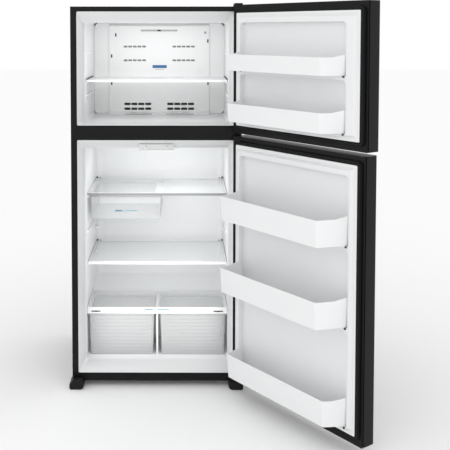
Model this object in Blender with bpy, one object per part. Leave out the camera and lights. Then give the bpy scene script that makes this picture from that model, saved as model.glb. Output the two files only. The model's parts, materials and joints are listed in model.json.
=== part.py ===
"""Top freezer refrigerator with both doors open, as separate parts with real joints.

Metres, +Z up. The cabinet is laid out with x = 0 on its centre line, y = 0 on the
front face of its flange and z = 0 on the floor, and +Y runs to the back. Both doors
are drawn shut and turned open about their hinge line. At the end the whole model is
moved so that the world origin is under the middle of its box.
"""
import math

import bmesh
import bpy
from mathutils import Euler, Vector

# ---------------------------------------------------------------- cabinet
CABINET_WIDTH = 0.7525
CABINET_TOP = 1.6947
CABINET_DEPTH = 0.640
CABINET_BOTTOM = 0.0247          # underside of the base, above the floor
SHEET = 0.0012                   # folded steel sheet
CLEARANCE = 0.0003               # between pieces that touch
FLANGE_SIDE = 0.0272             # width of the front flange at each side
FLANGE_TOP = 0.0216
FREEZER_OPENING_HEIGHT = 0.5017
MULLION_HEIGHT = 0.065
BOTTOM_RAIL_HEIGHT = 0.0353
RAIL_DEPTH = 0.028               # depth of the folded cross rails

# ---------------------------------------------------------------- liners
LINER_WALL = 0.0025
SIDE_INSULATION_STEP = 0.0276    # how far a side wall stands in from its opening
FREEZER_CEILING_STEP = 0.047
FREEZER_FLOOR_STEP = 0.0071
FRIDGE_CEILING_STEP = 0.0404
FRIDGE_FLOOR_STEP = 0.0424
FREEZER_BACK_INSULATION = 0.080  # liner's inner face to the cabinet's back
FRIDGE_BACK_INSULATION = 0.095
LIP_DEPTH = 0.055                # the sloping mouth of each liner ends here
LIP_BREAK = 0.022                # where the mouth changes slope
LIP_BREAK_SHARE = 0.62           # share of the widening reached at that break
LINER_CORNER = 0.036             # upright corners
LINER_EDGE = 0.012               # all its other edges
HUMP_DEPTH = 0.255               # step over the machine compartment, from the back
HUMP_HEIGHT = 0.1976
HUMP_RISE = 0.055
LEDGE_REACH = 0.006              # moulded shelf ledges on the side walls
LEDGE_HEIGHT = 0.009
SPARE_LEDGE_DROP = 0.179         # spare ledge below the upper shelf's top

# ---------------------------------------------------------------- shelves
SHELF_SIDE_CLEARANCE = 0.002
FRIDGE_SHELF_FRONT = 0.130
FRIDGE_SHELF_FROM_BACK = 0.039   # behind the shelf, to the liner
SHELF_THICKNESS = 0.0135
SHELF_RAIL = 0.014
GLASS_THICKNESS = 0.004
GLASS_BEARING = 0.0065           # width of the step that the glass lies on
UPPER_SHELF_DROP = 0.260         # below the top of the fresh food opening
MIDDLE_SHELF_SHARE = 0.508       # of the height between crisper cover and deli drawer
FREEZER_SHELF_FRONT = 0.098
FREEZER_SHELF_FROM_PANEL = 0.093
FREEZER_SHELF_RISE = 0.196       # its top above the freezer opening's lower edge
FREEZER_SHELF_THICKNESS = 0.010
FREEZER_LEDGE_RISES = (0.128, 0.318)

# ---------------------------------------------------------------- crispers
CRISPER_FRONT = 0.098
CRISPER_FROM_HUMP = 0.045
CRISPER_HEIGHT = 0.1908
CRISPER_FLANGE = 0.005
CRISPER_TAPER = 0.006
DRAWER_WALL = 0.0025
DRAWER_CORNER = 0.014
CRISPER_MIDDLE_GAP = 0.017       # between the two drawers' flanges
DIVIDER_THICKNESS = 0.008
COVER_FRONT = 0.092
COVER_FROM_HUMP = 0.033
COVER_RAIL_HEIGHT = 0.029
COVER_RAIL_DEPTH = 0.011
COVER_THICKNESS = 0.020
COVER_OVER_DRAWERS = 0.0035
VENT_FROM_SIDE = 0.0185          # humidity vent, from the cover's end
VENT_LENGTH = 0.043
VENT_HEIGHT = 0.0066
VENT_DROP = 0.0185               # below the top of the cover
SLIDER_TAB = 0.006
SLIDER_PLATE = 0.002

# ---------------------------------------------------------------- deli drawer
DELI_FRONT = 0.140
DELI_FROM_SHELF_BACK = 0.026
DELI_HEIGHT = 0.1053
DELI_RIGHT = 0.0235              # inner face of its right rail, from the centre line
DELI_CORNER = 0.012
HANGER_SHEET = 0.002
HANGER_LIP = 0.006
HANGER_HEIGHT = 0.0092
HANGER_BAND = 0.036              # the wide top of the right rail

# ---------------------------------------------------------------- freezer back
COVER_PANEL_FROM_SIDE = 0.074    # liner wall to the panel's side
COVER_PANEL_DEPTH = 0.105
COVER_PANEL_TOP_GAP = 0.003      # below the freezer ceiling
COVER_WING_STEP = 0.006          # the side strips stand this far behind its middle
COVER_PANEL_WALL = 0.0025
COVER_TOE = 0.040                # the sloping foot in front of it
COVER_TOE_HEIGHTS = (0.003, 0.012)
UPPER_VENT_ROWS = (0.332, 0.264)    # above the freezer floor
LOWER_VENT_ROWS = (0.048, 0.024)
UPPER_VENT = (0.066, 0.175, 5, 0.009)   # from the middle, to, slots, slot height
LOWER_VENT = (0.040, 0.1725, 4, 0.012)
VENT_BAR = 0.005
LIGHT_SLOT_HALF = 0.0915
LIGHT_SLOT_HEIGHT = 0.009
LIGHT_SLOT_DROP = 0.032
TUBE_RADIUS = 0.004
FAN_RADIUS = 0.052
HUB_RADIUS = 0.013
BLADES = 4
EVAPORATOR_FROM_BACK = 0.070     # middle of the fan, and the coil's first layer
EVAPORATOR_LAYERS_APART = 0.026
EVAPORATOR_FROM_PANEL_SIDE = 0.0625
EVAPORATOR_FAN_RISE = 0.335

# ---------------------------------------------------------------- control housing
HOUSING_HALF = 0.076
HOUSING_FRONT = 0.0205
HOUSING_BACK = 0.230
HOUSING_DROP = 0.026             # its lamp end, below the fresh food ceiling
HOUSING_FRONT_DROP = 0.008       # its dial end
LAMP_START = 0.130
HOUSING_RISE = 0.020             # its front reaches above the ceiling line, in the mouth
KNOB_SPACING = 0.092
KNOB_RADIUS = 0.010
KNOB_LENGTH = 0.0115
KNOB_SHAFT = 0.003
LAMP_RADIUS = 0.0085
LAMP_LENGTH = 0.060

# ---------------------------------------------------------------- doors
DOOR_THICKNESS = 0.0696
DOOR_GAP = 0.012                 # shut door to cabinet flange
DOOR_SIDE_OVERLAP = 0.0          # beyond the cabinet's side
DOOR_TOP_OVERLAP = 0.0059        # freezer door above the cabinet
DOOR_BETWEEN = 0.0135            # gap between the two doors
DOOR_BELOW_MULLION = 0.00155     # middle of that gap below the middle of the mullion
DOOR_LIFT = 0.0191               # fresh food door above the cabinet's underside
DOOR_SKIN = 0.0015
DOOR_CAP = 0.0025
DOOR_CORNER = 0.012
DOOR_BORDER_SIDE = 0.0286
DOOR_BORDER_TOP = 0.0346
DOOR_BORDER_BOTTOM = 0.0356
DOOR_FREEZER_OPEN = math.radians(126.8)
DOOR_FRIDGE_OPEN = math.radians(126.1)
HINGE_FROM_SIDE = 0.01415
HINGE_FROM_DOOR = 0.0192         # behind the shut door's inner face
PIN_RADIUS = 0.004
PIN_CLEARANCE = 0.0006
PIN_DEPTH = 0.013
GASKET_WIDTH = 0.0161
GASKET_STANDOFF = 0.0005
DYKE_HEIGHT = 0.018
DYKE_WIDTHS = {"freezer": (0.062, 0.0335), "fridge": (0.0335, 0.0335)}
RIM_STEP = 0.0165                # flat rim of the door liner, outside the dyke
RIM_HEIGHT = 0.0095
POCKET_DEPTH = 0.008             # recess floor below the door's inner face
LINER_FLOOR = 0.0025
POCKET_CORNER = 0.018
POCKET_FOOT_CORNER = 0.005
CROSSBAR = 0.016                 # between two recesses, under a bin
TOP_RECESS_INSET = 0.042
GROOVE_WIDTH = 0.006
GROOVE_DEPTH = 0.004
GROOVE_FROM_FACE = 0.0025
GRIP_WIDTH = 0.026
GRIP_DEPTH = 0.018
GRIP_FROM_EDGE = 0.016
GRIP_END_GAP = 0.030
FREEZER_GRIP_LENGTH = 0.300
FRIDGE_GRIP_LENGTH = 0.420

# ---------------------------------------------------------------- door bins
BIN_WALL = 0.0025
BIN_SIDE_GAP = 0.004
BIN_CORNER = 0.012               # where a front corner's round starts
BIN_SLANTS = (0.045, 0.005)      # each end's lean, at the free edge and at the hinge
BIN_BACK_CORNER = 0.004
BIN_TAPER = 0.006
BIN_END_RISE = 0.010             # the rim climbs this much at the door
BIN_RISE_RUN = 0.045             # and starts to climb this far out
BIN_BACK_HEIGHT = 0.035
FREEZER_BINS = ((0.0616, 0.078, 0.102), (0.277, 0.069, 0.102))
FRIDGE_BINS = ((0.0602, 0.101, 0.095), (0.4382, 0.105, 0.135), (0.7462, 0.103, 0.135))
# each: floor above the door's lower edge, height, reach from the door's inner face

# ---------------------------------------------------------------- feet and hinges
FOOT_WIDTH = 0.0645
FOOT_OUT = 0.009                 # beyond the cabinet's side
FOOT_HEIGHT = 0.042
FOOT_FRONT = -0.042
FOOT_BACK = 0.040
ROLLER_RADIUS = 0.0115
ROLLER_WIDTH = 0.014
ROLLER_AXLE = 0.003
ROLLER_FROM_SIDE = 0.070
ROLLER_FROM_BACK = 0.050
HINGE_PLATE = 0.0028
HINGE_HALF = 0.014
HINGE_RISER = 0.0035             # behind the flange, clear of the open door's corner
HINGE_LEAF_INSET = 0.006         # from the cabinet's side, clear of the open door's corner
HINGE_COVER_HEIGHT = 0.0135
HINGE_COVER_WALL = 0.0015

# ---------------------------------------------------------------- machine compartment
MACHINE_DEPTH = 0.210
MACHINE_HEIGHT = 0.236
COMPRESSOR_FROM_SIDE = 0.17125
COMPRESSOR_RADIUS = 0.066
COMPRESSOR_HEIGHT = 0.160
CONDENSER_FROM_SIDE = 0.07625
CONDENSER_FAN_FROM_COMPRESSOR = 0.153
CONDENSER_FROM_FAN = 0.042
CONDENSER_FAN_RISE = 0.100

ARC_STEPS = 3                    # straight runs in a small rounded corner

# ---------------------------------------------------------------- worked out from those
HALF = CABINET_WIDTH / 2
OPENING_HALF = HALF - FLANGE_SIDE
FREEZER_TOP = CABINET_TOP - FLANGE_TOP
FREEZER_BOTTOM = FREEZER_TOP - FREEZER_OPENING_HEIGHT
FRIDGE_TOP = FREEZER_BOTTOM - MULLION_HEIGHT
FRIDGE_BOTTOM = CABINET_BOTTOM + BOTTOM_RAIL_HEIGHT
INNER_HALF = OPENING_HALF - SIDE_INSULATION_STEP
FREEZER_BACK = CABINET_DEPTH - FREEZER_BACK_INSULATION
FRIDGE_BACK = CABINET_DEPTH - FRIDGE_BACK_INSULATION
HUMP_FRONT = CABINET_DEPTH - HUMP_DEPTH
FREEZER_CEILING = FREEZER_TOP - FREEZER_CEILING_STEP
FREEZER_FLOOR = FREEZER_BOTTOM + FREEZER_FLOOR_STEP
FRIDGE_CEILING = FRIDGE_TOP - FRIDGE_CEILING_STEP
FRIDGE_FLOOR = FRIDGE_BOTTOM + FRIDGE_FLOOR_STEP

DRAWER_BOTTOM = FRIDGE_FLOOR + CLEARANCE
DRAWER_TOP = DRAWER_BOTTOM + CRISPER_HEIGHT
COVER_TOP = DRAWER_TOP + COVER_OVER_DRAWERS + COVER_RAIL_HEIGHT
SHELF_HALF = INNER_HALF - SHELF_SIDE_CLEARANCE
CRISPER_BACK = HUMP_FRONT - CRISPER_FROM_HUMP
COVER_BACK = HUMP_FRONT - COVER_FROM_HUMP
FRIDGE_SHELF_BACK = FRIDGE_BACK - FRIDGE_SHELF_FROM_BACK
DELI_BACK = FRIDGE_SHELF_BACK - DELI_FROM_SHELF_BACK
UPPER_SHELF_TOP = FRIDGE_TOP - UPPER_SHELF_DROP
UPPER_SHELF_BOTTOM = UPPER_SHELF_TOP - SHELF_THICKNESS
HANGER_TOP = UPPER_SHELF_BOTTOM - CLEARANCE
HANGER_BOTTOM = HANGER_TOP - HANGER_HEIGHT
DELI_TOP = HANGER_BOTTOM + HANGER_SHEET + CLEARANCE + DRAWER_WALL
DELI_BOTTOM = DELI_TOP - DELI_HEIGHT
MIDDLE_SHELF_TOP = COVER_TOP + MIDDLE_SHELF_SHARE * (DELI_BOTTOM - COVER_TOP)
FREEZER_SHELF_TOP = FREEZER_BOTTOM + FREEZER_SHELF_RISE

COVER_PANEL_HALF = INNER_HALF - COVER_PANEL_FROM_SIDE
COVER_PANEL_FRONT = FREEZER_BACK - COVER_PANEL_DEPTH
FREEZER_SHELF_BACK = COVER_PANEL_FRONT - FREEZER_SHELF_FROM_PANEL
EVAPORATOR_Y = FREEZER_BACK - EVAPORATOR_FROM_BACK
EVAPORATOR_HALF = COVER_PANEL_HALF - EVAPORATOR_FROM_PANEL_SIDE
MACHINE_FRONT = CABINET_DEPTH - MACHINE_DEPTH
COMPRESSOR_X = HALF - COMPRESSOR_FROM_SIDE
CONDENSER_FAN_X = COMPRESSOR_X - CONDENSER_FAN_FROM_COMPRESSOR
CONDENSER_LEFT = -HALF + CONDENSER_FROM_SIDE
CONDENSER_RIGHT = CONDENSER_FAN_X - CONDENSER_FROM_FAN

DOOR_INNER = -DOOR_GAP
DOOR_OUTER = DOOR_INNER - DOOR_THICKNESS
DOOR_HALF = HALF + DOOR_SIDE_OVERLAP
DOOR_MEETING = (FREEZER_BOTTOM + FRIDGE_TOP) / 2 - DOOR_BELOW_MULLION
FREEZER_DOOR = (DOOR_MEETING + DOOR_BETWEEN / 2, CABINET_TOP + DOOR_TOP_OVERLAP)
FRIDGE_DOOR = (CABINET_BOTTOM + DOOR_LIFT, DOOR_MEETING - DOOR_BETWEEN / 2)
HINGE_X = HALF - HINGE_FROM_SIDE
HINGE_Y = DOOR_INNER - HINGE_FROM_DOOR

BLACK_STEEL = ((0.017, 0.017, 0.018), 0.42, 0.0)
BLACK_PLASTIC = ((0.014, 0.014, 0.015), 0.50, 0.0)
BLACK_RUBBER = ((0.016, 0.016, 0.017), 0.70, 0.0)
WHITE_PLASTIC = ((0.80, 0.80, 0.79), 0.38, 0.0)
CLEAR_PLASTIC = ((0.86, 0.89, 0.90), 0.12, 0.0)
CLEAR_GLASS = ((0.80, 0.88, 0.87), 0.05, 0.0)
PLATED_STEEL = ((0.42, 0.42, 0.43), 0.35, 1.0)
BARE_ALUMINIUM = ((0.72, 0.73, 0.74), 0.30, 1.0)
COPPER_TUBE = ((0.62, 0.32, 0.20), 0.32, 1.0)
FOAM = ((0.78, 0.66, 0.36), 0.90, 0.0)


# ================================================================ tools
def clear_scene():
    """Remove whatever the file holds."""
    for thing in list(bpy.data.objects):
        bpy.data.objects.remove(thing, do_unlink=True)


def empty(name, parent=None, location=(0, 0, 0), turn=0.0):
    """A frame that parts hang from, at a joint's axis."""
    frame = bpy.data.objects.new(name, None)
    bpy.context.collection.objects.link(frame)
    frame.parent = parent
    frame.location = location
    frame.rotation_euler = (0, 0, turn)
    return frame


def finish(thing, paint):
    """Give a part its own material."""
    colour, roughness, metallic = paint
    skin = bpy.data.materials.new(thing.name)
    skin.use_nodes = True
    shader = skin.node_tree.nodes["Principled BSDF"]
    shader.inputs["Base Color"].default_value = (*colour, 1)
    shader.inputs["Roughness"].default_value = roughness
    shader.inputs["Metallic"].default_value = metallic
    skin.diffuse_color = (*colour, 1)
    thing.data.materials.append(skin)


def part(name, shape, paint, frame):
    """Make a mesh object from a bmesh, drawn in the cabinet's own coordinates."""
    bmesh.ops.recalc_face_normals(shape, faces=shape.faces)
    mesh = bpy.data.meshes.new(name)
    shape.to_mesh(mesh)
    shape.free()
    thing = bpy.data.objects.new(name, mesh)
    bpy.context.collection.objects.link(thing)
    thing.parent = frame
    if frame.parent:
        thing.location = -frame.location
    if paint:
        finish(thing, paint)
    return thing


def combine(thing, shape, operation):
    """Cut a shape out of a part, or fuse it on, with an exact boolean."""
    tool = part(f"{thing.name}_tool", shape, None, thing.parent)
    tool.hide_render = True
    tool.display_type = "WIRE"
    step = thing.modifiers.new(operation.lower(), "BOOLEAN")
    step.operation = operation
    step.solver = "EXACT"
    step.object = tool
    return tool


def cut(thing, shape):
    return combine(thing, shape, "DIFFERENCE")


def fuse(thing, shape):
    return combine(thing, shape, "UNION")


def spread(u, v, axis, level):
    """A point from its two coordinates in a plane and its level along the axis."""
    order = {"X": (level, u, v), "Y": (u, level, v), "Z": (u, v, level)}
    return Vector(order[axis])


def prism(shape, outline, axis, low, high):
    """Extrude a flat outline between two levels along an axis."""
    rings = []
    for level in (low, high):
        rings.append([shape.verts.new(spread(u, v, axis, level)) for u, v in outline])
    count = len(outline)
    shape.faces.new(rings[0])
    shape.faces.new(rings[1])
    for i in range(count):
        j = (i + 1) % count
        shape.faces.new((rings[0][i], rings[0][j], rings[1][j], rings[1][i]))
    return shape


def box(shape, x, y, z):
    """Add a box given by its three ranges."""
    outline = ((x[0], y[0]), (x[1], y[0]), (x[1], y[1]), (x[0], y[1]))
    return prism(shape, outline, "Z", z[0], z[1])


def boxed(x, y, z):
    return box(bmesh.new(), x, y, z)


def circle(u, v, radius, sides):
    """The corners of a round outline."""
    turn = 2 * math.pi / sides
    return [(u + radius * math.cos(turn * i), v + radius * math.sin(turn * i))
            for i in range(sides)]


def absorb(shape, other):
    """Move another shape's faces into this one."""
    mesh = bpy.data.meshes.new("passing")
    other.to_mesh(mesh)
    other.free()
    shape.from_mesh(mesh)
    bpy.data.meshes.remove(mesh)


def bar(shape, centre, radius, axis, low, high, sides=16):
    """Add a round bar along an axis."""
    return prism(shape, circle(*centre, radius, sides), axis, low, high)


def rounded(u, v, radii, steps=ARC_STEPS):
    """A rectangle with its own radius at each corner, anticlockwise from (low, low)."""
    corners = ((u[0], v[0], 180), (u[1], v[0], 270), (u[1], v[1], 0), (u[0], v[1], 90))
    points = []
    for (cu, cv, start), radius in zip(corners, radii):
        mu = cu + radius if cu == u[0] else cu - radius
        mv = cv + radius if cv == v[0] else cv - radius
        for i in range(steps + 1):
            angle = math.radians(start + 90 * i / steps)
            points.append((mu + radius * math.cos(angle), mv + radius * math.sin(angle)))
    return points


def eased(corners, cuts):
    """An outline with each corner rounded, from its own distance before the corner."""
    points = []
    for i, (corner, reach) in enumerate(zip(corners, cuts)):
        if not reach:
            points.append(corner)
            continue
        here = Vector(corner)
        before, after = Vector(corners[i - 1]), Vector(corners[(i + 1) % len(corners)])
        start = here + (before - here).normalized() * reach
        end = here + (after - here).normalized() * reach
        for step in range(ARC_STEPS + 1):
            t = step / ARC_STEPS
            place = start * (1 - t) ** 2 + here * (2 * t * (1 - t)) + end * t ** 2
            points.append((place.x, place.y))
    return points


def loft(rings, ends="caps"):
    """Join rings of points into a closed body: with end caps, or as a closed loop."""
    shape = bmesh.new()
    made = [[shape.verts.new(point) for point in ring] for ring in rings]
    count = len(rings[0])
    pairs = list(zip(made, made[1:]))
    if ends == "loop":
        pairs.append((made[-1], made[0]))
    else:
        shape.faces.new(made[0])
        shape.faces.new(made[-1])
    for one, two in pairs:
        for i in range(count):
            j = (i + 1) % count
            shape.faces.new((one[i], one[j], two[j], two[i]))
    return shape


def level_ring(outline, level):
    return [Vector((u, v, level)) for u, v in outline]


def tray(x, y, z, wall, corner, taper, flange=0.0):
    """An open box with drafted walls and, if asked for, a flange round its rim."""
    def ring(inset, level, grow=0.0):
        radius = max(corner - inset + grow, 0.001)
        across = (x[0] + inset - grow, x[1] - inset + grow)
        along = (y[0] + inset - grow, y[1] - inset + grow)
        return level_ring(rounded(across, along, [radius] * 4), level)

    rings = [ring(taper, z[0])]
    if flange:
        rings += [ring(0, z[1] - wall), ring(0, z[1] - wall, flange), ring(0, z[1], flange)]
    else:
        rings += [ring(0, z[1])]
    rings += [ring(wall, z[1]), ring(taper + wall, z[0] + wall)]
    return loft(rings)


def turned(profile, centre, sides=20):
    """Turn a profile of (radius, height) points about an upright axis."""
    return loft([level_ring(circle(*centre, radius, sides), height)
                 for radius, height in profile])


def serpentine(name, low, high, rows, pitch, layers, paint, frame):
    """A tube that runs to and fro along X, up one layer and down the next."""
    points = []
    bend = pitch / 2
    for layer, across in enumerate(layers):
        order = range(rows) if layer % 2 == 0 else range(rows - 1, -1, -1)
        for count, row in enumerate(order):
            height = low[2] + row * pitch
            rightward = (count + layer * rows) % 2 == 0
            ends = (low[0], high[0]) if rightward else (high[0], low[0])
            points.append((ends[0], across, height))
            points.append((ends[1], across, height))
            if count < rows - 1:
                way = 1 if rightward else -1
                rise = 1 if layer % 2 == 0 else -1
                for angle in (30, 90, 150):
                    turn = math.radians(angle)
                    out = way * bend * math.sin(turn)
                    up = rise * bend * (1 - math.cos(turn))
                    points.append((ends[1] + out, across, height + up))
    tube = bpy.data.curves.new(name, "CURVE")
    tube.dimensions = "3D"
    tube.bevel_depth = TUBE_RADIUS
    tube.bevel_resolution = 1
    tube.use_fill_caps = True
    spline = tube.splines.new("POLY")
    spline.points.add(len(points) - 1)
    for point, place in zip(spline.points, points):
        point.co = (*place, 1)
    thing = bpy.data.objects.new(name, tube)
    bpy.context.collection.objects.link(thing)
    thing.parent = frame
    finish(thing, paint)
    return thing


# ================================================================ cabinet
def make_case(root):
    """The folded wrapper, its back, the two cross rails and the base."""
    inside = HALF - SHEET
    case = part("cabinet_wrapper",
                boxed((-HALF, HALF), (0, CABINET_DEPTH), (CABINET_BOTTOM, CABINET_TOP)),
                BLACK_STEEL, root)
    hollow = boxed((-inside, inside), (SHEET, CABINET_DEPTH + SHEET),
                   (CABINET_BOTTOM - SHEET, CABINET_TOP - SHEET))
    cut(case, hollow)
    mouth = boxed((-OPENING_HALF, OPENING_HALF), (-SHEET, 2 * SHEET),
                  (CABINET_BOTTOM - SHEET, FREEZER_TOP))
    cut(case, mouth)

    within = inside - CLEARANCE
    machine_top = CABINET_BOTTOM + MACHINE_HEIGHT
    part("cabinet_back",
         boxed((-within, within), (CABINET_DEPTH - SHEET, CABINET_DEPTH),
               (machine_top + CLEARANCE, CABINET_TOP - SHEET - CLEARANCE)),
         BLACK_STEEL, root)

    across = OPENING_HALF - CLEARANCE
    lap = LINER_WALL + 2 * CLEARANCE
    for name, low, high, under in (("mullion_rail", FRIDGE_TOP, FREEZER_BOTTOM, lap),
                                   ("bottom_rail", CABINET_BOTTOM, FRIDGE_BOTTOM, 0.004)):
        web = (low + under, low + under + SHEET, high - lap - SHEET, high - lap)
        channel = [(0, low), (SHEET, low), (SHEET, web[0]), (RAIL_DEPTH, web[0]),
                   (RAIL_DEPTH, web[1]), (SHEET, web[1]), (SHEET, web[2]),
                   (RAIL_DEPTH, web[2]), (RAIL_DEPTH, web[3]), (SHEET, web[3]),
                   (SHEET, high), (0, high)]
        shape = prism(bmesh.new(), channel, "X", -across, across)
        part(name, shape, BLACK_STEEL, root)

    base = (CABINET_BOTTOM, CABINET_BOTTOM + SHEET)
    pan = part("base_plate",
               boxed((-within, within), (RAIL_DEPTH + CLEARANCE, CABINET_DEPTH - 0.004),
                     (base[0], base[1] + 0.012)), PLATED_STEEL, root)
    cut(pan, boxed((-within + SHEET, within - SHEET),
                   (RAIL_DEPTH + CLEARANCE + SHEET, CABINET_DEPTH),
                   (base[1], base[1] + 0.020)))

    plug_x = -OPENING_HALF + 0.036
    plug_z = (FRIDGE_TOP + FREEZER_BOTTOM) / 2
    plug = bar(bmesh.new(), (plug_x, plug_z), 0.005, "Y", -0.0016, -CLEARANCE, 12)
    part("mullion_plug", plug, BLACK_PLASTIC, root)


def ledge(shape, side, y, top):
    """Add one moulded shelf ledge on a side wall."""
    wall = side * (INNER_HALF + LINER_WALL / 2)
    tip = side * (INNER_HALF - LEDGE_REACH)
    across = (min(wall, tip), max(wall, tip))
    return box(shape, across, y, (top - LEDGE_HEIGHT, top))


def liner_block(profile, half, corner, extra=0.0):
    """A prism with rounded edges everywhere but round its front face."""
    shape = prism(bmesh.new(), profile, "X", -half, half)
    front = min(point[0] for point in profile)

    def at_front(edge):
        return all(abs(vert.co.y - front) < 1e-6 for vert in edge.verts)

    def upright(edge):
        return abs(edge.verts[0].co.z - edge.verts[1].co.z) > edge.calc_length() * 0.999

    def sharp(edge):
        return edge.calc_face_angle(0) > math.radians(45)

    bmesh.ops.recalc_face_normals(shape, faces=shape.faces)
    corners = [edge for edge in shape.edges if upright(edge) and not at_front(edge)]
    bmesh.ops.bevel(shape, geom=corners, offset=corner + extra, segments=ARC_STEPS,
                    profile=0.5, affect="EDGES", clamp_overlap=True)
    others = [edge for edge in shape.edges if sharp(edge) and not at_front(edge)]
    bmesh.ops.bevel(shape, geom=others, offset=LINER_EDGE + extra, segments=ARC_STEPS,
                    profile=0.5, affect="EDGES", clamp_overlap=True)
    return shape, front


def open_rim(shape):
    """The corners round the open side of a shape, in order."""
    rim = [edge for edge in shape.edges if edge.is_boundary]
    loop = [rim[0].verts[0], rim[0].verts[1]]
    left = set(rim[1:])
    while left:
        step = next(edge for edge in left if loop[-1] in edge.verts)
        left.remove(step)
        loop.append(step.other_vert(loop[-1]))
    return loop[:-1]


def squared(across, height, half, levels):
    """Push a point straight out from the middle of an opening to its square edge."""
    middle = (levels[0] + levels[1]) / 2
    reach = max(abs(across) / half, abs(height - middle) / (levels[1] - middle))
    return across / reach, middle + (height - middle) / reach


def make_liner(name, profile, opening, root):
    """A moulded liner: its block without a front, and a mouth that slopes out."""
    shape, front = liner_block(profile, INNER_HALF, LINER_CORNER)
    bmesh.ops.recalc_face_normals(shape, faces=shape.faces)
    faces = [face for face in shape.faces
             if all(abs(vert.co.y - front) < 1e-6 for vert in face.verts)]
    bmesh.ops.delete(shape, geom=faces, context="FACES_ONLY")
    ring = open_rim(shape)
    base = [vert.co.copy() for vert in ring]
    low, high = min(v for _, v in profile), max(v for _, v in profile)
    mouth_low, mouth_high = opening[0] + CLEARANCE, opening[1] - CLEARANCE
    mouth_half = OPENING_HALF - CLEARANCE
    widening = mouth_half / INNER_HALF - 1
    for depth, share in ((LIP_BREAK, LIP_BREAK_SHARE), (SHEET + CLEARANCE, 1.0)):
        wider = []
        for place in base:
            far = mouth_low + (place.z - low) / (high - low) * (mouth_high - mouth_low)
            height = place.z + share * (far - place.z)
            across = place.x * (1 + share * widening)
            if share == 1.0:
                across, height = squared(across, height, mouth_half, (mouth_low, mouth_high))
            wider.append(shape.verts.new((across, depth, height)))
        for i, vert in enumerate(ring):
            j = (i + 1) % len(ring)
            shape.faces.new((vert, ring[j], wider[j], wider[i]))
        ring = wider
    liner = part(name, shape, WHITE_PLASTIC, root)
    wall = liner.modifiers.new("wall", "SOLIDIFY")
    wall.thickness = LINER_WALL
    wall.offset = 1
    wall.use_even_offset = True
    return liner


def make_liners(root):
    """Both liners, with the ledges that their shelves lie on."""
    freezer = [(LIP_DEPTH, FREEZER_FLOOR), (FREEZER_BACK, FREEZER_FLOOR),
               (FREEZER_BACK, FREEZER_CEILING), (LIP_DEPTH, FREEZER_CEILING)]
    hump_top = FRIDGE_FLOOR + HUMP_HEIGHT
    fridge = [(LIP_DEPTH, FRIDGE_FLOOR), (HUMP_FRONT, FRIDGE_FLOOR), (HUMP_FRONT, hump_top),
              (FRIDGE_BACK, hump_top + HUMP_RISE), (FRIDGE_BACK, FRIDGE_CEILING),
              (LIP_DEPTH, FRIDGE_CEILING)]
    upper = make_liner("freezer_liner", freezer, (FREEZER_BOTTOM, FREEZER_TOP), root)
    lower = make_liner("fridge_liner", fridge, (FRIDGE_BOTTOM, FRIDGE_TOP), root)

    freezer_run = (FREEZER_SHELF_FRONT + 0.010, FREEZER_SHELF_BACK)
    shelf_under = FREEZER_SHELF_TOP - FREEZER_SHELF_THICKNESS - CLEARANCE
    shape = bmesh.new()
    for side in (-1, 1):
        ledge(shape, side, freezer_run, shelf_under)
        for rise in FREEZER_LEDGE_RISES:
            ledge(shape, side, freezer_run, FREEZER_BOTTOM + rise)
    fuse(upper, shape)

    fridge_run = (FRIDGE_SHELF_FRONT + 0.010, FRIDGE_SHELF_BACK)
    cover_run = (COVER_FRONT + COVER_RAIL_DEPTH + 0.002, COVER_BACK)
    shape = bmesh.new()
    for side in (-1, 1):
        ledge(shape, side, fridge_run, UPPER_SHELF_BOTTOM - CLEARANCE)
        ledge(shape, side, fridge_run, MIDDLE_SHELF_TOP - SHELF_THICKNESS - CLEARANCE)
        ledge(shape, side, fridge_run, UPPER_SHELF_TOP - SPARE_LEDGE_DROP)
        ledge(shape, side, cover_run, COVER_TOP - COVER_THICKNESS - CLEARANCE)
    fuse(lower, shape)
    make_foam(freezer, fridge, root)


def outset(profile, amount):
    """A profile grown by an amount, its front moved clear of the cabinet."""
    points = [Vector(point) for point in profile]
    grown = []
    for i, point in enumerate(points):
        back = (point - points[i - 1]).normalized()
        ahead = (points[(i + 1) % len(points)] - point).normalized()
        normals = [Vector((run.y, -run.x)) for run in (back, ahead)]
        middle = (normals[0] + normals[1]).normalized()
        grown.append(point + middle * (amount / middle.dot(normals[0])))
    front = min(point.x for point in points)
    return [(-SHEET if point.x < front else point.x, point.y) for point in grown]


def make_foam(freezer, fridge, root):
    """Insulation round both liners, with a step over the machine compartment."""
    within = HALF - SHEET - CLEARANCE
    low = CABINET_BOTTOM + SHEET + 0.012 + CLEARANCE
    machine_top = CABINET_BOTTOM + MACHINE_HEIGHT
    foam = part("cabinet_foam",
                boxed((-within, within),
                      (LIP_DEPTH + 0.004, CABINET_DEPTH - SHEET - CLEARANCE),
                      (low, CABINET_TOP - SHEET - CLEARANCE)), FOAM, root)
    hollows = boxed((-HALF, HALF), (MACHINE_FRONT, CABINET_DEPTH), (0, machine_top))
    for profile in (freezer, fridge):
        grown = outset(profile, LINER_WALL + CLEARANCE)
        shape, _ = liner_block(grown, INNER_HALF + LINER_WALL + CLEARANCE,
                               LINER_CORNER, LINER_WALL)
        absorb(hollows, shape)
    cut(foam, hollows)


# ================================================================ shelves
def window(x, y, z):
    """A cutter that goes right through a flat piece."""
    return boxed(x, y, (z[0] - 0.010, z[1] + 0.010))


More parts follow.
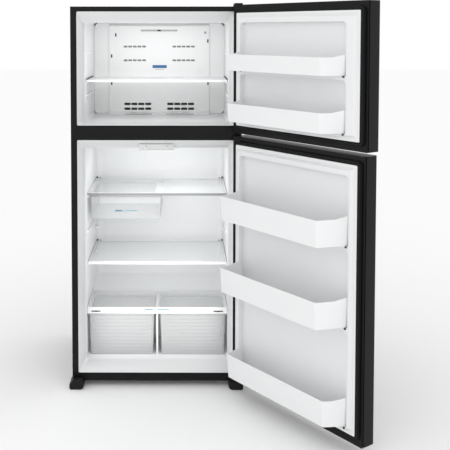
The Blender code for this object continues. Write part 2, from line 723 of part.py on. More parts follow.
def make_glass_shelf(name, top, root):
    """A glass pane lying in a moulded frame."""
    x = (-SHELF_HALF, SHELF_HALF)
    y = (FRIDGE_SHELF_FRONT, FRIDGE_SHELF_BACK)
    low = top - SHELF_THICKNESS
    frame = part(f"{name}_frame", boxed(x, y, (low, top)), WHITE_PLASTIC, root)
    inner_x = (x[0] + SHELF_RAIL, x[1] - SHELF_RAIL)
    inner_y = (y[0] + SHELF_RAIL, y[1] - SHELF_RAIL)
    cut(frame, window(inner_x, inner_y, (low, top)))
    make_pane(name, frame, inner_x, inner_y, top, root)


def make_pane(name, frame, inner_x, inner_y, top, root):
    """Cut the step for a glass pane round a window, and lay the glass in it."""
    step_x = (inner_x[0] - GLASS_BEARING, inner_x[1] + GLASS_BEARING)
    step_y = (inner_y[0] - GLASS_BEARING, inner_y[1] + GLASS_BEARING)
    step_low = top - GLASS_THICKNESS - 2 * CLEARANCE
    cut(frame, boxed(step_x, step_y, (step_low, top + 0.010)))
    glass_x = (step_x[0] + CLEARANCE, step_x[1] - CLEARANCE)
    glass_y = (step_y[0] + CLEARANCE, step_y[1] - CLEARANCE)
    part(f"{name}_glass", boxed(glass_x, glass_y, (step_low + CLEARANCE, top - CLEARANCE)),
         CLEAR_GLASS, root)


def make_freezer_shelf(root):
    """One moulded shelf with a deep front band and a hollow underside."""
    top = FREEZER_SHELF_TOP
    low = top - FREEZER_SHELF_THICKNESS
    y = (FREEZER_SHELF_FRONT, FREEZER_SHELF_BACK)
    shelf = part("freezer_shelf", boxed((-SHELF_HALF, SHELF_HALF), y, (low, top)),
                 WHITE_PLASTIC, root)
    rim = 0.006
    skin = 0.0035
    sunk = 0.0015
    inner_x = (-SHELF_HALF + rim, SHELF_HALF - rim)
    inner_y = (y[0] + rim, y[1] - rim)
    cut(shelf, boxed(inner_x, inner_y, (low - 0.010, top - sunk - skin)))
    cut(shelf, boxed(inner_x, inner_y, (top - sunk, top + 0.010)))


def make_crisper_cover(root):
    """The cover over the crispers: frame, glass, centre bar and two humidity vents."""
    x = (-SHELF_HALF, SHELF_HALF)
    y = (COVER_FRONT, COVER_BACK)
    low = COVER_TOP - COVER_THICKNESS
    rail = (COVER_TOP - COVER_RAIL_HEIGHT, low + 0.001)
    frame = part("crisper_cover_frame", boxed(x, y, (low, COVER_TOP)), WHITE_PLASTIC, root)
    bar_half = 0.007
    side = 0.012
    inner_y = (y[0] + COVER_RAIL_DEPTH, y[1] - SHELF_RAIL)
    shape = bmesh.new()
    for u in ((x[0] + side, -bar_half), (bar_half, x[1] - side)):
        box(shape, u, inner_y, (low - 0.010, COVER_TOP + 0.010))
    cut(frame, shape)
    make_pane("crisper_cover", frame, (x[0] + side, x[1] - side), inner_y, COVER_TOP, root)
    fuse(frame, boxed(x, (y[0], y[0] + COVER_RAIL_DEPTH - 0.002), rail))

    vent_top = COVER_TOP - VENT_DROP + VENT_HEIGHT / 2
    slot_z = (vent_top - VENT_HEIGHT, vent_top)
    for side_name, sign in (("left", -1), ("right", 1)):
        outer = sign * (SHELF_HALF - VENT_FROM_SIDE)
        inner = outer - sign * VENT_LENGTH
        across = (min(outer, inner), max(outer, inner))
        cut(frame, boxed(across, (y[0] - 0.010, y[0] + COVER_RAIL_DEPTH + 0.010), slot_z))
        make_slider(side_name, across, slot_z, y[0] + COVER_RAIL_DEPTH, root)


def make_slider(side_name, across, slot_z, behind, root):
    """A vent slide behind the rail, with a tab that comes forward through the slot."""
    middle = (across[0] + across[1]) / 2
    height = (slot_z[0] + slot_z[1]) / 2
    frame = empty(f"humidity_{side_name}_slide", root, (middle, behind, height))
    half = VENT_LENGTH / 2 + 0.004
    plate_y = (behind + CLEARANCE, behind + CLEARANCE + SLIDER_PLATE)
    overlap = 0.0015
    plate_z = (slot_z[0] - overlap, slot_z[1] + overlap)
    name = f"humidity_slider_{side_name}"
    slider = part(name, boxed((middle - half, middle + half), plate_y, plate_z),
                  WHITE_PLASTIC, frame)
    tab_z = (slot_z[0] + 0.001, slot_z[1] - 0.001)
    tab_y = (COVER_FRONT - 0.003, plate_y[0] + SLIDER_PLATE / 2)
    fuse(slider, boxed((middle - SLIDER_TAB / 2, middle + SLIDER_TAB / 2), tab_y, tab_z))


def make_crispers(root):
    """Two clear drawers on the liner's floor and the support between them."""
    inner = CRISPER_MIDDLE_GAP / 2
    outer = SHELF_HALF - 0.002
    y = (CRISPER_FRONT, CRISPER_BACK)
    for name, low, high in (("left", -outer, -inner), ("right", inner, outer)):
        frame = empty(f"crisper_{name}_slide", root, ((low + high) / 2, y[0], DRAWER_BOTTOM))
        shape = tray((low + CRISPER_FLANGE, high - CRISPER_FLANGE), y,
                     (DRAWER_BOTTOM, DRAWER_TOP), DRAWER_WALL, DRAWER_CORNER,
                     CRISPER_TAPER, CRISPER_FLANGE)
        part(f"crisper_drawer_{name}", shape, CLEAR_PLASTIC, frame)
    half = DIVIDER_THICKNESS / 2
    top = COVER_TOP - COVER_THICKNESS - CLEARANCE
    part("crisper_divider",
         boxed((-half, half), (COVER_FRONT + COVER_RAIL_DEPTH + CLEARANCE, COVER_BACK - 0.010),
               (DRAWER_BOTTOM, top)), WHITE_PLASTIC, root)


def make_deli(root):
    """The clear drawer under the upper shelf and the hanger that it slides in."""
    left = -INNER_HALF + LEDGE_REACH + 0.0005
    right = DELI_RIGHT + HANGER_SHEET
    y = (FRIDGE_SHELF_FRONT + 0.012, FRIDGE_SHELF_BACK - 0.004)
    top = HANGER_TOP
    low = HANGER_BOTTOM
    hanger = part("deli_drawer_hanger",
                  boxed((left, left + HANGER_SHEET + HANGER_LIP), y, (low, low + HANGER_SHEET)),
                  WHITE_PLASTIC, root)
    fuse(hanger, boxed((left, left + HANGER_SHEET), y, (low, top)))
    fuse(hanger, boxed((left, right), (y[1] - 0.014, y[1]), (top - HANGER_SHEET, top)))
    fuse(hanger, boxed((right - HANGER_BAND, right), y, (top - HANGER_SHEET, top)))
    fuse(hanger, boxed((right - HANGER_SHEET, right), y, (low, top)))
    fuse(hanger, boxed((right - HANGER_SHEET - HANGER_LIP, right), y,
                       (low, low + HANGER_SHEET)))

    flange = HANGER_LIP - 0.0005
    inner_left = left + HANGER_SHEET + 0.0005
    inner_right = right - HANGER_SHEET - 0.0005
    frame = empty("deli_slide", root,
                  ((inner_left + inner_right) / 2, DELI_FRONT, DELI_BOTTOM))
    shape = tray((inner_left + flange, inner_right - flange), (DELI_FRONT, DELI_BACK),
                 (DELI_BOTTOM, DELI_TOP), DRAWER_WALL, DELI_CORNER, 0.002, flange - 0.0005)
    part("deli_drawer", shape, CLEAR_PLASTIC, frame)


# ================================================================ freezer back
def vent_row(shape, row, across, height, slots, y):
    """Add the cutters for one row of slots, on both sides of the middle."""
    length = (across[1] - across[0] + VENT_BAR) / slots - VENT_BAR
    for side in (-1, 1):
        for i in range(slots):
            near = across[0] + i * (length + VENT_BAR)
            ends = sorted((side * near, side * (near + length)))
            box(shape, ends, y, (row - height / 2, row + height / 2))


def make_evaporator_cover(root):
    """The panel in front of the evaporator: an open-backed cover with vents."""
    front = COVER_PANEL_FRONT
    back = FREEZER_BACK - CLEARANCE
    low = FREEZER_FLOOR + CLEARANCE
    top = FREEZER_CEILING - COVER_PANEL_TOP_GAP
    edge = LINER_EDGE
    wall = COVER_PANEL_WALL

    def profile(inset, toe):
        return [(back + inset, low + edge - inset), (back - edge + inset, low - inset),
                *toe, (front + inset, top - edge - inset), (front + edge, top - inset),
                (back - edge + inset, top - inset), (back + inset, top - edge - inset)]

    toe_front = front - COVER_TOE
    toe = [(toe_front, low), (toe_front, low + COVER_TOE_HEIGHTS[0]),
           (front, low + COVER_TOE_HEIGHTS[1])]
    shape = prism(bmesh.new(), profile(0, toe), "X", -COVER_PANEL_HALF, COVER_PANEL_HALF)
    panel = part("evaporator_cover", shape, WHITE_PLASTIC, root)
    hollow = prism(bmesh.new(), profile(wall, [(front + wall, low - wall)]), "X",
                   -COVER_PANEL_HALF + wall, COVER_PANEL_HALF - wall)
    cut(panel, hollow)

    wings = bmesh.new()
    inner, outer = COVER_PANEL_HALF - wall / 2, SHELF_HALF
    behind = front + COVER_WING_STEP
    for side in (-1, 1):
        strip = [(side * inner, low), (side * (outer - edge), low), (side * outer, low + edge),
                 (side * outer, top - edge), (side * (outer - edge), top), (side * inner, top)]
        prism(wings, strip, "Y", behind, behind + wall)
    fuse(panel, wings)

    through = (front - 0.012, front + 0.006)
    shape = bmesh.new()
    for rows, (near, far, slots, height) in ((UPPER_VENT_ROWS, UPPER_VENT),
                                             (LOWER_VENT_ROWS, LOWER_VENT)):
        for rise in rows:
            vent_row(shape, FREEZER_FLOOR + rise, (near, far), height, slots, through)
    slot = rounded((-LIGHT_SLOT_HALF, LIGHT_SLOT_HALF),
                   (FREEZER_CEILING - LIGHT_SLOT_DROP - LIGHT_SLOT_HEIGHT,
                    FREEZER_CEILING - LIGHT_SLOT_DROP), [LIGHT_SLOT_HEIGHT * 0.45] * 4)
    prism(shape, slot, "Y", *through)
    cut(panel, shape)


def make_fan(prefix, frame_name, centre, axis, root):
    """A hub with pitched blades that turns about its axis."""
    frame = empty(frame_name, root, centre)
    u, v = (centre[1], centre[2]) if axis == "X" else (centre[0], centre[2])
    level = centre[0] if axis == "X" else centre[1]
    hub = bar(bmesh.new(), (u, v), HUB_RADIUS, axis, level - 0.006, level + 0.006, 12)
    fan = part(f"{prefix}_fan_blade", hub, BLACK_PLASTIC, frame)
    blades = bmesh.new()
    for i in range(BLADES):
        blade = boxed((HUB_RADIUS * 0.7, FAN_RADIUS), (-0.014, 0.014), (-0.0008, 0.0008))
        turn = Euler((math.radians(28), 0, 0)).to_matrix()
        spin = Euler((0, 0, 2 * math.pi * i / BLADES)).to_matrix()
        tip = Euler((0, math.radians(90), 0) if axis == "X" else (math.radians(90), 0, 0))
        matrix = (tip.to_matrix() @ spin @ turn).to_4x4()
        matrix.translation = Vector(centre)
        blade.transform(matrix)
        absorb(blades, blade)
    fuse(fan, blades)


def make_cold_side(root):
    """Evaporator, its fan and motor, behind the cover."""
    serpentine("evaporator_coil", (-EVAPORATOR_HALF, 0, FREEZER_FLOOR + 0.030),
               (EVAPORATOR_HALF, 0, 0), 7, 0.028,
               (EVAPORATOR_Y, EVAPORATOR_Y + EVAPORATOR_LAYERS_APART), BARE_ALUMINIUM, root)
    height = FREEZER_FLOOR + EVAPORATOR_FAN_RISE
    make_fan("evaporator", "evaporator_fan_axis", (0, EVAPORATOR_Y, height), "Y", root)
    motor = bar(bmesh.new(), (0, height), 0.021, "Y", EVAPORATOR_Y + 0.016,
                FREEZER_BACK - CLEARANCE, 16)
    part("evaporator_fan_motor", motor, BLACK_PLASTIC, root)


# ================================================================ control housing
def make_controls(root):
    """The housing at the front of the fresh food ceiling, its two dials and its lamp."""
    low = FRIDGE_CEILING - HOUSING_DROP
    top = FRIDGE_CEILING - CLEARANCE
    front = HOUSING_FRONT
    slope_end = LIP_DEPTH - 0.001
    face_top = FRIDGE_CEILING + HOUSING_RISE
    front_low = FRIDGE_CEILING - HOUSING_FRONT_DROP
    profile = [(front, front_low + 0.006), (front + 0.006, front_low),
               (LAMP_START - 0.020, front_low), (LAMP_START, low), (HOUSING_BACK, low),
               (HOUSING_BACK, top), (slope_end, top), (front + 0.004, face_top),
               (front, face_top)]
    shape = prism(bmesh.new(), profile, "X", -HOUSING_HALF, HOUSING_HALF)
    housing = part("control_housing", shape, WHITE_PLASTIC, root)
    wall = 0.002
    cut(housing, boxed((-HOUSING_HALF + wall, HOUSING_HALF - wall),
                       (LAMP_START, HOUSING_BACK - wall), (low - 0.010, top - wall)))
    knob_z = face_top - KNOB_RADIUS - 0.004
    shape = bmesh.new()
    for name, x in (("fridge", -KNOB_SPACING / 2), ("freezer", KNOB_SPACING / 2)):
        bar(shape, (x, knob_z), KNOB_SHAFT + CLEARANCE, "Y", front - 0.010, front + 0.008, 12)
        make_knob(name, x, knob_z, root)
    cut(housing, shape)
    profile = [(LAMP_RADIUS * 0.7, 0), (LAMP_RADIUS * 0.7, 0.016), (LAMP_RADIUS, 0.024),
               (LAMP_RADIUS, LAMP_LENGTH * 0.75), (LAMP_RADIUS * 0.6, LAMP_LENGTH)]
    bulb = turned(profile, (0, 0), 12)
    matrix = Euler((math.radians(-90), 0, 0)).to_matrix().to_4x4()
    matrix.translation = Vector((0, LAMP_START + CLEARANCE, low + 0.012))
    bulb.transform(matrix)
    part("lamp_bulb", bulb, WHITE_PLASTIC, root)


def make_knob(name, x, height, root):
    """A dial with a raised grip across it and a shaft into the housing."""
    front = HOUSING_FRONT - CLEARANCE
    frame = empty(f"{name}_knob_axis", root, (x, front, height))
    disc = bar(bmesh.new(), (x, height), KNOB_RADIUS, "Y", front - KNOB_LENGTH * 0.45, front, 16)
    knob = part(f"{name}_control_knob", disc, WHITE_PLASTIC, frame)
    grip = 0.0018
    fuse(knob, boxed((x - grip, x + grip), (front - KNOB_LENGTH, front - 0.003),
                     (height - KNOB_RADIUS * 0.85, height + KNOB_RADIUS * 0.85)))
    shape = bar(bmesh.new(), (x, height), KNOB_SHAFT, "Y", front - 0.002, front + 0.007, 12)
    fuse(knob, shape)


# ================================================================ doors
def door_plan(inset, inner):
    """A shut door from above, from its inner side round its rounded front corners."""
    low, high = -DOOR_HALF + inset, DOOR_HALF - inset
    outer = DOOR_OUTER + inset
    radius = DOOR_CORNER - inset
    points = []
    for centre_x, start in ((low + radius, 180), (high - radius, 270)):
        for i in range(ARC_STEPS + 1):
            angle = math.radians(start + 90 * i / ARC_STEPS)
            points.append((centre_x + radius * math.cos(angle),
                           outer + radius + radius * math.sin(angle)))
    return points + [(high, inner), (low, inner)]


def grip_box(door, length, upper, grow):
    """The grip pocket in the door's front near its free edge."""
    x = (-DOOR_HALF + GRIP_FROM_EDGE, -DOOR_HALF + GRIP_FROM_EDGE + GRIP_WIDTH)
    y = (DOOR_OUTER - 0.010, DOOR_OUTER + GRIP_DEPTH)
    if upper:
        z = (door[1] - GRIP_END_GAP - length, door[1] - GRIP_END_GAP)
    else:
        z = (door[0] + GRIP_END_GAP, door[0] + GRIP_END_GAP + length)
    return ((x[0] - grow, x[1] + grow), (y[0], y[1] + grow), (z[0] - grow, z[1] + grow))


def make_door_shell(name, door, grip, frame):
    """The steel skin and end caps, hollow, with a grip pocket and hinge holes."""
    shell = part(f"{name}_door_shell",
                 prism(bmesh.new(), door_plan(0, DOOR_INNER), "Z", *door), BLACK_STEEL, frame)
    inside = (door[0] + DOOR_CAP, door[1] - DOOR_CAP)
    hollow = cut(shell, prism(bmesh.new(), door_plan(DOOR_SKIN, DOOR_INNER - DOOR_SKIN),
                              "Z", *inside))
    groove_y = (DOOR_INNER - GROOVE_FROM_FACE - GROOVE_WIDTH, DOOR_INNER - GROOVE_FROM_FACE)
    keep = box(bmesh.new(), *grip_box(door, *grip, DOOR_SKIN))
    box(keep, (-DOOR_HALF - 0.010, -DOOR_HALF + GROOVE_DEPTH + DOOR_SKIN),
        (groove_y[0] - DOOR_SKIN, groove_y[1] + DOOR_SKIN), (door[0] - 0.010, door[1] + 0.010))
    cut(hollow, keep)
    cut(shell, boxed((-DOOR_HALF + DOOR_BORDER_SIDE, DOOR_HALF - DOOR_BORDER_SIDE),
                     (DOOR_INNER - 2 * DOOR_SKIN, DOOR_INNER + 0.010),
                     (door[0] + DOOR_BORDER_BOTTOM, door[1] - DOOR_BORDER_TOP)))
    voids = box(bmesh.new(), *grip_box(door, *grip, 0))
    box(voids, (-DOOR_HALF - 0.010, -DOOR_HALF + GROOVE_DEPTH), groove_y,
        (door[0] - 0.010, door[1] + 0.010))
    cut(shell, voids)
    holes = bmesh.new()
    for low in (door[0] - 0.010, door[1] - DOOR_CAP - 0.010):
        bar(holes, (HINGE_X, HINGE_Y), PIN_RADIUS + PIN_CLEARANCE, "Z", low,
            low + DOOR_CAP + 0.020, 12)
    cut(shell, holes)


def make_door_foam(name, door, grip, frame):
    """The insulation that fills the shell behind the liner."""
    skin = DOOR_SKIN + CLEARANCE
    back = DOOR_INNER - POCKET_DEPTH - LINER_FLOOR - CLEARANCE
    ends = (door[0] + DOOR_CAP + CLEARANCE, door[1] - DOOR_CAP - CLEARANCE)
    foam = part(f"{name}_door_foam", prism(bmesh.new(), door_plan(skin, back), "Z", *ends),
                FOAM, frame)
    cut(foam, box(bmesh.new(), *grip_box(door, *grip, skin)))
    block = 0.014
    depth = PIN_DEPTH + 0.004
    shape = bmesh.new()
    for z in ((door[0], door[0] + depth), (door[1] - depth, door[1])):
        box(shape, (HINGE_X - block, HALF), (HINGE_Y - block, 0), z)
    cut(foam, shape)


def make_door_liner(name, door, bins, frame):
    """The inner panel: a rim, a raised dyke and a recess over each bin."""
    x = (-DOOR_HALF + DOOR_BORDER_SIDE + CLEARANCE, DOOR_HALF - DOOR_BORDER_SIDE - CLEARANCE)
    z = (door[0] + DOOR_BORDER_BOTTOM + CLEARANCE, door[1] - DOOR_BORDER_TOP - CLEARANCE)
    back = DOOR_INNER - POCKET_DEPTH - LINER_FLOOR

    def ring(inset, radius, level):
        outline = rounded((x[0] + inset, x[1] - inset), (z[0] + inset, z[1] - inset),
                          [radius] * 4)
        return [Vector((u, level, v)) for u, v in outline]

    rim = DOOR_INNER + RIM_HEIGHT
    dyke = DOOR_INNER + DYKE_HEIGHT
    panel = part(f"{name}_door_liner",
                 loft([ring(0, 0.004, back), ring(0, 0.004, rim),
                       ring(0.009, 0.006, rim), ring(0.011, 0.007, rim - 0.003),
                       ring(RIM_STEP - 0.002, 0.010, rim - 0.003),
                       ring(RIM_STEP + 0.003, 0.012, dyke - 0.003),
                       ring(RIM_STEP + 0.006, 0.014, dyke)]), WHITE_PLASTIC, frame)
    free, hinged = DYKE_WIDTHS[name]
    across = (x[0] + free, x[1] - hinged)
    shape = bmesh.new()
    ceiling = z[1] - TOP_RECESS_INSET
    for rise, _, _ in reversed(bins):
        low = door[0] + rise
        radii = (POCKET_FOOT_CORNER, POCKET_FOOT_CORNER, POCKET_CORNER, POCKET_CORNER)
        outline = rounded(across, (low, ceiling), radii)
        prism(shape, outline, "Y", DOOR_INNER - POCKET_DEPTH, dyke + 0.010)
        ceiling = low - CROSSBAR
    cut(panel, shape)
    return across


def make_gasket(name, door, frame):
    """The magnetic gasket: a ring on the shell's border that closes on the cabinet."""
    x = (-DOOR_HALF + DOOR_BORDER_SIDE, DOOR_HALF - DOOR_BORDER_SIDE)
    z = (door[0] + DOOR_BORDER_BOTTOM, door[1] - DOOR_BORDER_TOP)
    y = (DOOR_INNER + CLEARANCE, -GASKET_STANDOFF)

    def ring(grow, level):
        corner = 0.004 + grow
        return [Vector((u, level, v)) for u, v in
                rounded((x[0] - grow, x[1] + grow), (z[0] - grow, z[1] + grow), [corner] * 4)]

    waist = (y[0] + y[1]) / 2
    wide = GASKET_WIDTH
    shape = loft([ring(0.0005, y[0]), ring(wide, y[0]), ring(wide - 0.003, waist),
                  ring(wide, y[1] - 0.002), ring(wide - 0.001, y[1]), ring(0.0015, y[1]),
                  ring(0.0005, y[1] - 0.002), ring(0.003, waist)], ends="loop")
    part(f"{name}_door_gasket", shape, BLACK_RUBBER, frame)


def make_bin(name, door, across, spec, frame):
    """A door bin: an open box whose free end leans in and whose ends rise to the door."""
    rise, height, reach = spec
    low = door[0] + rise + 0.001
    rim = low + height
    ends = (across[0] + BIN_SIDE_GAP, across[1] - BIN_SIDE_GAP)
    back = DOOR_INNER - POCKET_DEPTH + CLEARANCE
    front = DOOR_INNER + reach

    start = DOOR_INNER + DYKE_HEIGHT
    slopes = [slant / (front - start) for slant in BIN_SLANTS]

    def outline(inset):
        left, right = (end + sign * inset * math.hypot(1, slope)
                       for end, sign, slope in zip(ends, (1, -1), slopes))
        low_y, high_y = back + min(inset, BIN_WALL), front - inset
        turn_y = start + BIN_RISE_RUN
        corners = [(left, low_y), (right, low_y), (right, start),
                   (right - slopes[1] * BIN_RISE_RUN, turn_y),
                   (right - slopes[1] * (high_y - start), high_y),
                   (left + slopes[0] * (high_y - start), high_y),
                   (left + slopes[0] * BIN_RISE_RUN, turn_y), (left, start)]
        near = max(BIN_BACK_CORNER - inset, 0.001)
        far = max(BIN_CORNER - inset, 0.003)
        return eased(corners, (near, near, 0, 0, far, far, 0, 0))

    def top(v):
        if v < DOOR_INNER:
            return low + BIN_BACK_HEIGHT
        share = 1 - (v - start) / BIN_RISE_RUN
        return rim + BIN_END_RISE * min(max(share, 0), 1)

    def rim_ring(inset):
        return [Vector((u, v, top(v))) for u, v in outline(inset)]

    rings = [level_ring(outline(BIN_TAPER), low), rim_ring(0), rim_ring(BIN_WALL),
             level_ring(outline(BIN_TAPER + BIN_WALL), low + BIN_WALL)]
    part(name, loft(rings), WHITE_PLASTIC, frame)


def make_door(name, door, bins, grip, turn, root):
    """One door, drawn shut about its hinge line and turned open."""
    frame = empty(f"{name}_door_axis", root, (HINGE_X, HINGE_Y, 0), turn)
    make_door_shell(name, door, grip, frame)
    make_door_foam(name, door, grip, frame)
    across = make_door_liner(name, door, bins, frame)
    make_gasket(name, door, frame)
    places = ("lower", "upper") if len(bins) == 2 else ("lower", "middle", "upper")
    for place, spec in zip(places, bins):
        make_bin(f"{name}_door_bin_{place}", door, across, spec, frame)


# ================================================================ hinges and feet
def pin(shape, low, high):
    return bar(shape, (HINGE_X, HINGE_Y), PIN_RADIUS, "Z", low, high, 12)


def make_hinges(root):
    """Top hinge with its cap, centre hinge between the doors and bottom hinge."""
    x = (HINGE_X - HINGE_HALF, HALF - 0.002)
    front = HINGE_Y - 0.018
    over_door = FREEZER_DOOR[1] + 0.0008
    seat = CABINET_TOP + CLEARANCE
    riser = (HINGE_RISER, HINGE_RISER + HINGE_PLATE)
    profile = [(0.068, seat), (0.068, seat + HINGE_PLATE), (riser[1], seat + HINGE_PLATE),
               (riser[1], over_door + HINGE_PLATE), (front, over_door + HINGE_PLATE),
               (front, over_door), (riser[0], over_door), (riser[0], seat)]
    top = part("top_hinge", prism(bmesh.new(), profile, "X", *x), PLATED_STEEL, root)
    fuse(top, pin(bmesh.new(), FREEZER_DOOR[1] - PIN_DEPTH, over_door + 0.001))

    cap_x = (x[0] - 0.006, HALF - 0.0002)
    cap_top = CABINET_TOP + HINGE_COVER_HEIGHT
    step = HINGE_RISER - HINGE_COVER_WALL - 0.0008
    profile = [(0.076, seat), (0.076, cap_top - 0.003), (0.072, cap_top),
               (front - 0.002, cap_top), (front - 0.005, cap_top - 0.003),
               (front - 0.005, over_door - CLEARANCE), (step, over_door - CLEARANCE),
               (step, seat)]
    cap = part("top_hinge_cover", prism(bmesh.new(), profile, "X", *cap_x),
               BLACK_PLASTIC, root)
    wall = HINGE_COVER_WALL
    cut(cap, boxed((cap_x[0] + wall, cap_x[1] - wall), (front - 0.005 + wall, 0.076 - wall),
                   (seat - 0.010, cap_top - 2 * wall)))

    meeting = (FRIDGE_DOOR[1] + FREEZER_DOOR[0]) / 2
    leaf = (-CLEARANCE - HINGE_PLATE, -CLEARANCE)
    reach = (HINGE_Y - 0.016, leaf[1])
    centre = part("centre_hinge",
                  boxed((HALF - 0.058, HALF - HINGE_LEAF_INSET), leaf,
                        (meeting - 0.019, meeting + 0.021)),
                  PLATED_STEEL, root)
    fuse(centre, boxed(x, reach, (meeting - HINGE_PLATE / 2, meeting + HINGE_PLATE / 2)))
    fuse(centre, pin(bmesh.new(), FRIDGE_DOOR[1] - PIN_DEPTH, FREEZER_DOOR[0] + PIN_DEPTH))

    under = FRIDGE_DOOR[0] - 0.004
    lower = part("bottom_hinge",
                 boxed((HALF - 0.042, HALF - HINGE_LEAF_INSET), leaf, (CABINET_BOTTOM + 0.001, under)),
                 PLATED_STEEL, root)
    fuse(lower, boxed(x, reach, (under - HINGE_PLATE, under)))
    fuse(lower, pin(bmesh.new(), under - 0.001, FRIDGE_DOOR[0] + PIN_DEPTH))


def foot_outline(side, height):
    """A foot from the front: flat below, flared, with a rounded shoulder."""
    out = HALF + FOOT_OUT
    inner = out - FOOT_WIDTH
    points = [(out - 0.004, 0), (out, 0.008), (out, height * 0.55), (out - 0.014, height)]
    points += [(inner + 0.009, height), (inner + 0.002, height * 0.80)]
    points += [(inner, height * 0.40), (inner + 0.005, height * 0.15), (inner + 0.016, 0)]
    outline = [(side * x, z) for x, z in points]
    return outline


def make_feet(root):
    """Two front feet, and two rear rollers in their brackets."""
    for name, side in (("left", -1), ("right", 1)):
        under_hinge = FRIDGE_DOOR[0] - 0.004 - HINGE_PLATE - 0.001
        height = FOOT_HEIGHT if side < 0 else min(FOOT_HEIGHT, under_hinge)
        shape = prism(bmesh.new(), foot_outline(side, height), "Y", FOOT_FRONT, FOOT_BACK)
        foot = part(f"front_foot_{name}", shape, BLACK_PLASTIC, root)
        leaf = -CLEARANCE - HINGE_PLATE - CLEARANCE
        cut(foot, boxed((-CABINET_WIDTH, CABINET_WIDTH), (leaf, FOOT_BACK + 0.010),
                        (CABINET_BOTTOM - CLEARANCE, FOOT_HEIGHT + 0.010)))

    y = CABINET_DEPTH - ROLLER_FROM_BACK
    z = ROLLER_RADIUS
    for name, side in (("left", -1), ("right", 1)):
        x = side * (HALF - ROLLER_FROM_SIDE)
        half = ROLLER_WIDTH / 2
        frame = empty(f"rear_roller_{name}_axis", root, (x, y, z))
        wheel = bar(bmesh.new(), (y, z), ROLLER_RADIUS, "X", x - half, x + half, 24)
        roller = part(f"rear_roller_{name}", wheel, BLACK_PLASTIC, frame)
        cut(roller, bar(bmesh.new(), (y, z), ROLLER_AXLE + CLEARANCE, "X",
                        x - 2 * half, x + 2 * half, 12))
        cheek = 0.0015
        outside = half + 0.0006 + cheek
        top = (CABINET_BOTTOM - CLEARANCE - 0.001, CABINET_BOTTOM - CLEARANCE)
        bracket = part(f"roller_bracket_{name}",
                       boxed((x - outside, x + outside), (y - 0.018, y + 0.018), top),
                       PLATED_STEEL, root)
        cheeks = bmesh.new()
        for way in (-1, 1):
            edge = sorted((x + way * outside, x + way * (outside - cheek)))
            box(cheeks, edge, (y - 0.009, y + 0.009), (z - 0.006, top[0] + 0.0005))
        fuse(bracket, cheeks)
        fuse(bracket, bar(bmesh.new(), (y, z), ROLLER_AXLE, "X", x - outside + 0.0005,
                          x + outside - 0.0005, 12))


# ================================================================ machine compartment
def make_machine(root):
    """Compressor, condenser, fan, drain pan and the vented cover behind them."""
    base = CABINET_BOTTOM + SHEET + CLEARANCE
    middle = (MACHINE_FRONT + CABINET_DEPTH) / 2 + 0.004
    radius = COMPRESSOR_RADIUS
    high = base + COMPRESSOR_HEIGHT
    can = [(radius * 0.80, base), (radius * 0.80, base + 0.006), (radius * 0.97, base + 0.016),
           (radius, base + 0.075), (radius * 1.04, base + 0.079), (radius, base + 0.084),
           (radius * 0.96, high - 0.030), (radius * 0.75, high - 0.008), (radius * 0.30, high)]
    compressor = part("compressor", turned(can, (COMPRESSOR_X, middle), 20),
                      BLACK_STEEL, root)
    fuse(compressor, boxed((COMPRESSOR_X - 0.085, COMPRESSOR_X + 0.085),
                           (middle - 0.022, middle + 0.022), (base, base + 0.004)))

    pan_z = (base, base + 0.016)
    pan = tray((CONDENSER_LEFT - 0.020, CONDENSER_RIGHT + 0.012),
               (MACHINE_FRONT + 0.012, CABINET_DEPTH - 0.030), pan_z, 0.002, 0.010, 0.002)
    part("drain_pan", pan, BLACK_PLASTIC, root)
    serpentine("condenser_coil", (CONDENSER_LEFT, 0, pan_z[1] + 0.012),
               (CONDENSER_RIGHT - 0.014, 0, 0), 6, 0.024,
               (middle - 0.050, middle - 0.010, middle + 0.030), COPPER_TUBE, root)

    fan_z = base + CONDENSER_FAN_RISE
    make_fan("condenser", "condenser_fan_axis", (CONDENSER_FAN_X, middle, fan_z), "X", root)
    motor_x = (CONDENSER_FAN_X + 0.017, CONDENSER_FAN_X + 0.055)
    motor = bar(bmesh.new(), (middle, fan_z), 0.021, "X", *motor_x, 16)
    motor = part("condenser_fan_motor", motor, BLACK_PLASTIC, root)
    fuse(motor, boxed((motor_x[0] + 0.010, motor_x[1] - 0.010), (middle - 0.012, middle + 0.012),
                      (base, fan_z)))

    machine_top = CABINET_BOTTOM + MACHINE_HEIGHT
    within = HALF - SHEET - CLEARANCE
    y = (CABINET_DEPTH - SHEET, CABINET_DEPTH)
    cover = part("machine_cover", boxed((-within, within), y,
                                        (CABINET_BOTTOM, machine_top)), BLACK_STEEL, root)
    shape = bmesh.new()
    slots = 9
    for group in (-0.200, 0.0, 0.200):
        for i in range(slots):
            x = group + (i - (slots - 1) / 2) * 0.014
            box(shape, (x - 0.003, x + 0.003), (y[0] - 0.010, y[1] + 0.010),
                (CABINET_BOTTOM + 0.060, machine_top - 0.060))
    gland = (-HALF + 0.050, CABINET_BOTTOM + 0.040)
    bar(shape, gland, 0.008, "Y", y[0] - 0.010, y[1] + 0.010, 16)
    cut(cover, shape)


# ================================================================ whole
def centre_on_floor(root):
    """Move the model so that the origin is under the middle of its box."""
    bpy.context.view_layer.update()
    depsgraph = bpy.context.evaluated_depsgraph_get()
    corners = []
    for thing in bpy.data.objects:
        if thing.type in {"MESH", "CURVE"} and not thing.hide_render:
            live = thing.evaluated_get(depsgraph)
            corners += [live.matrix_world @ vert.co for vert in live.to_mesh().vertices]
            live.to_mesh_clear()
    for axis in (0, 1):
        values = [corner[axis] for corner in corners]
        root.location[axis] = -(min(values) + max(values)) / 2
    root.location[2] = -min(corner.z for corner in corners)


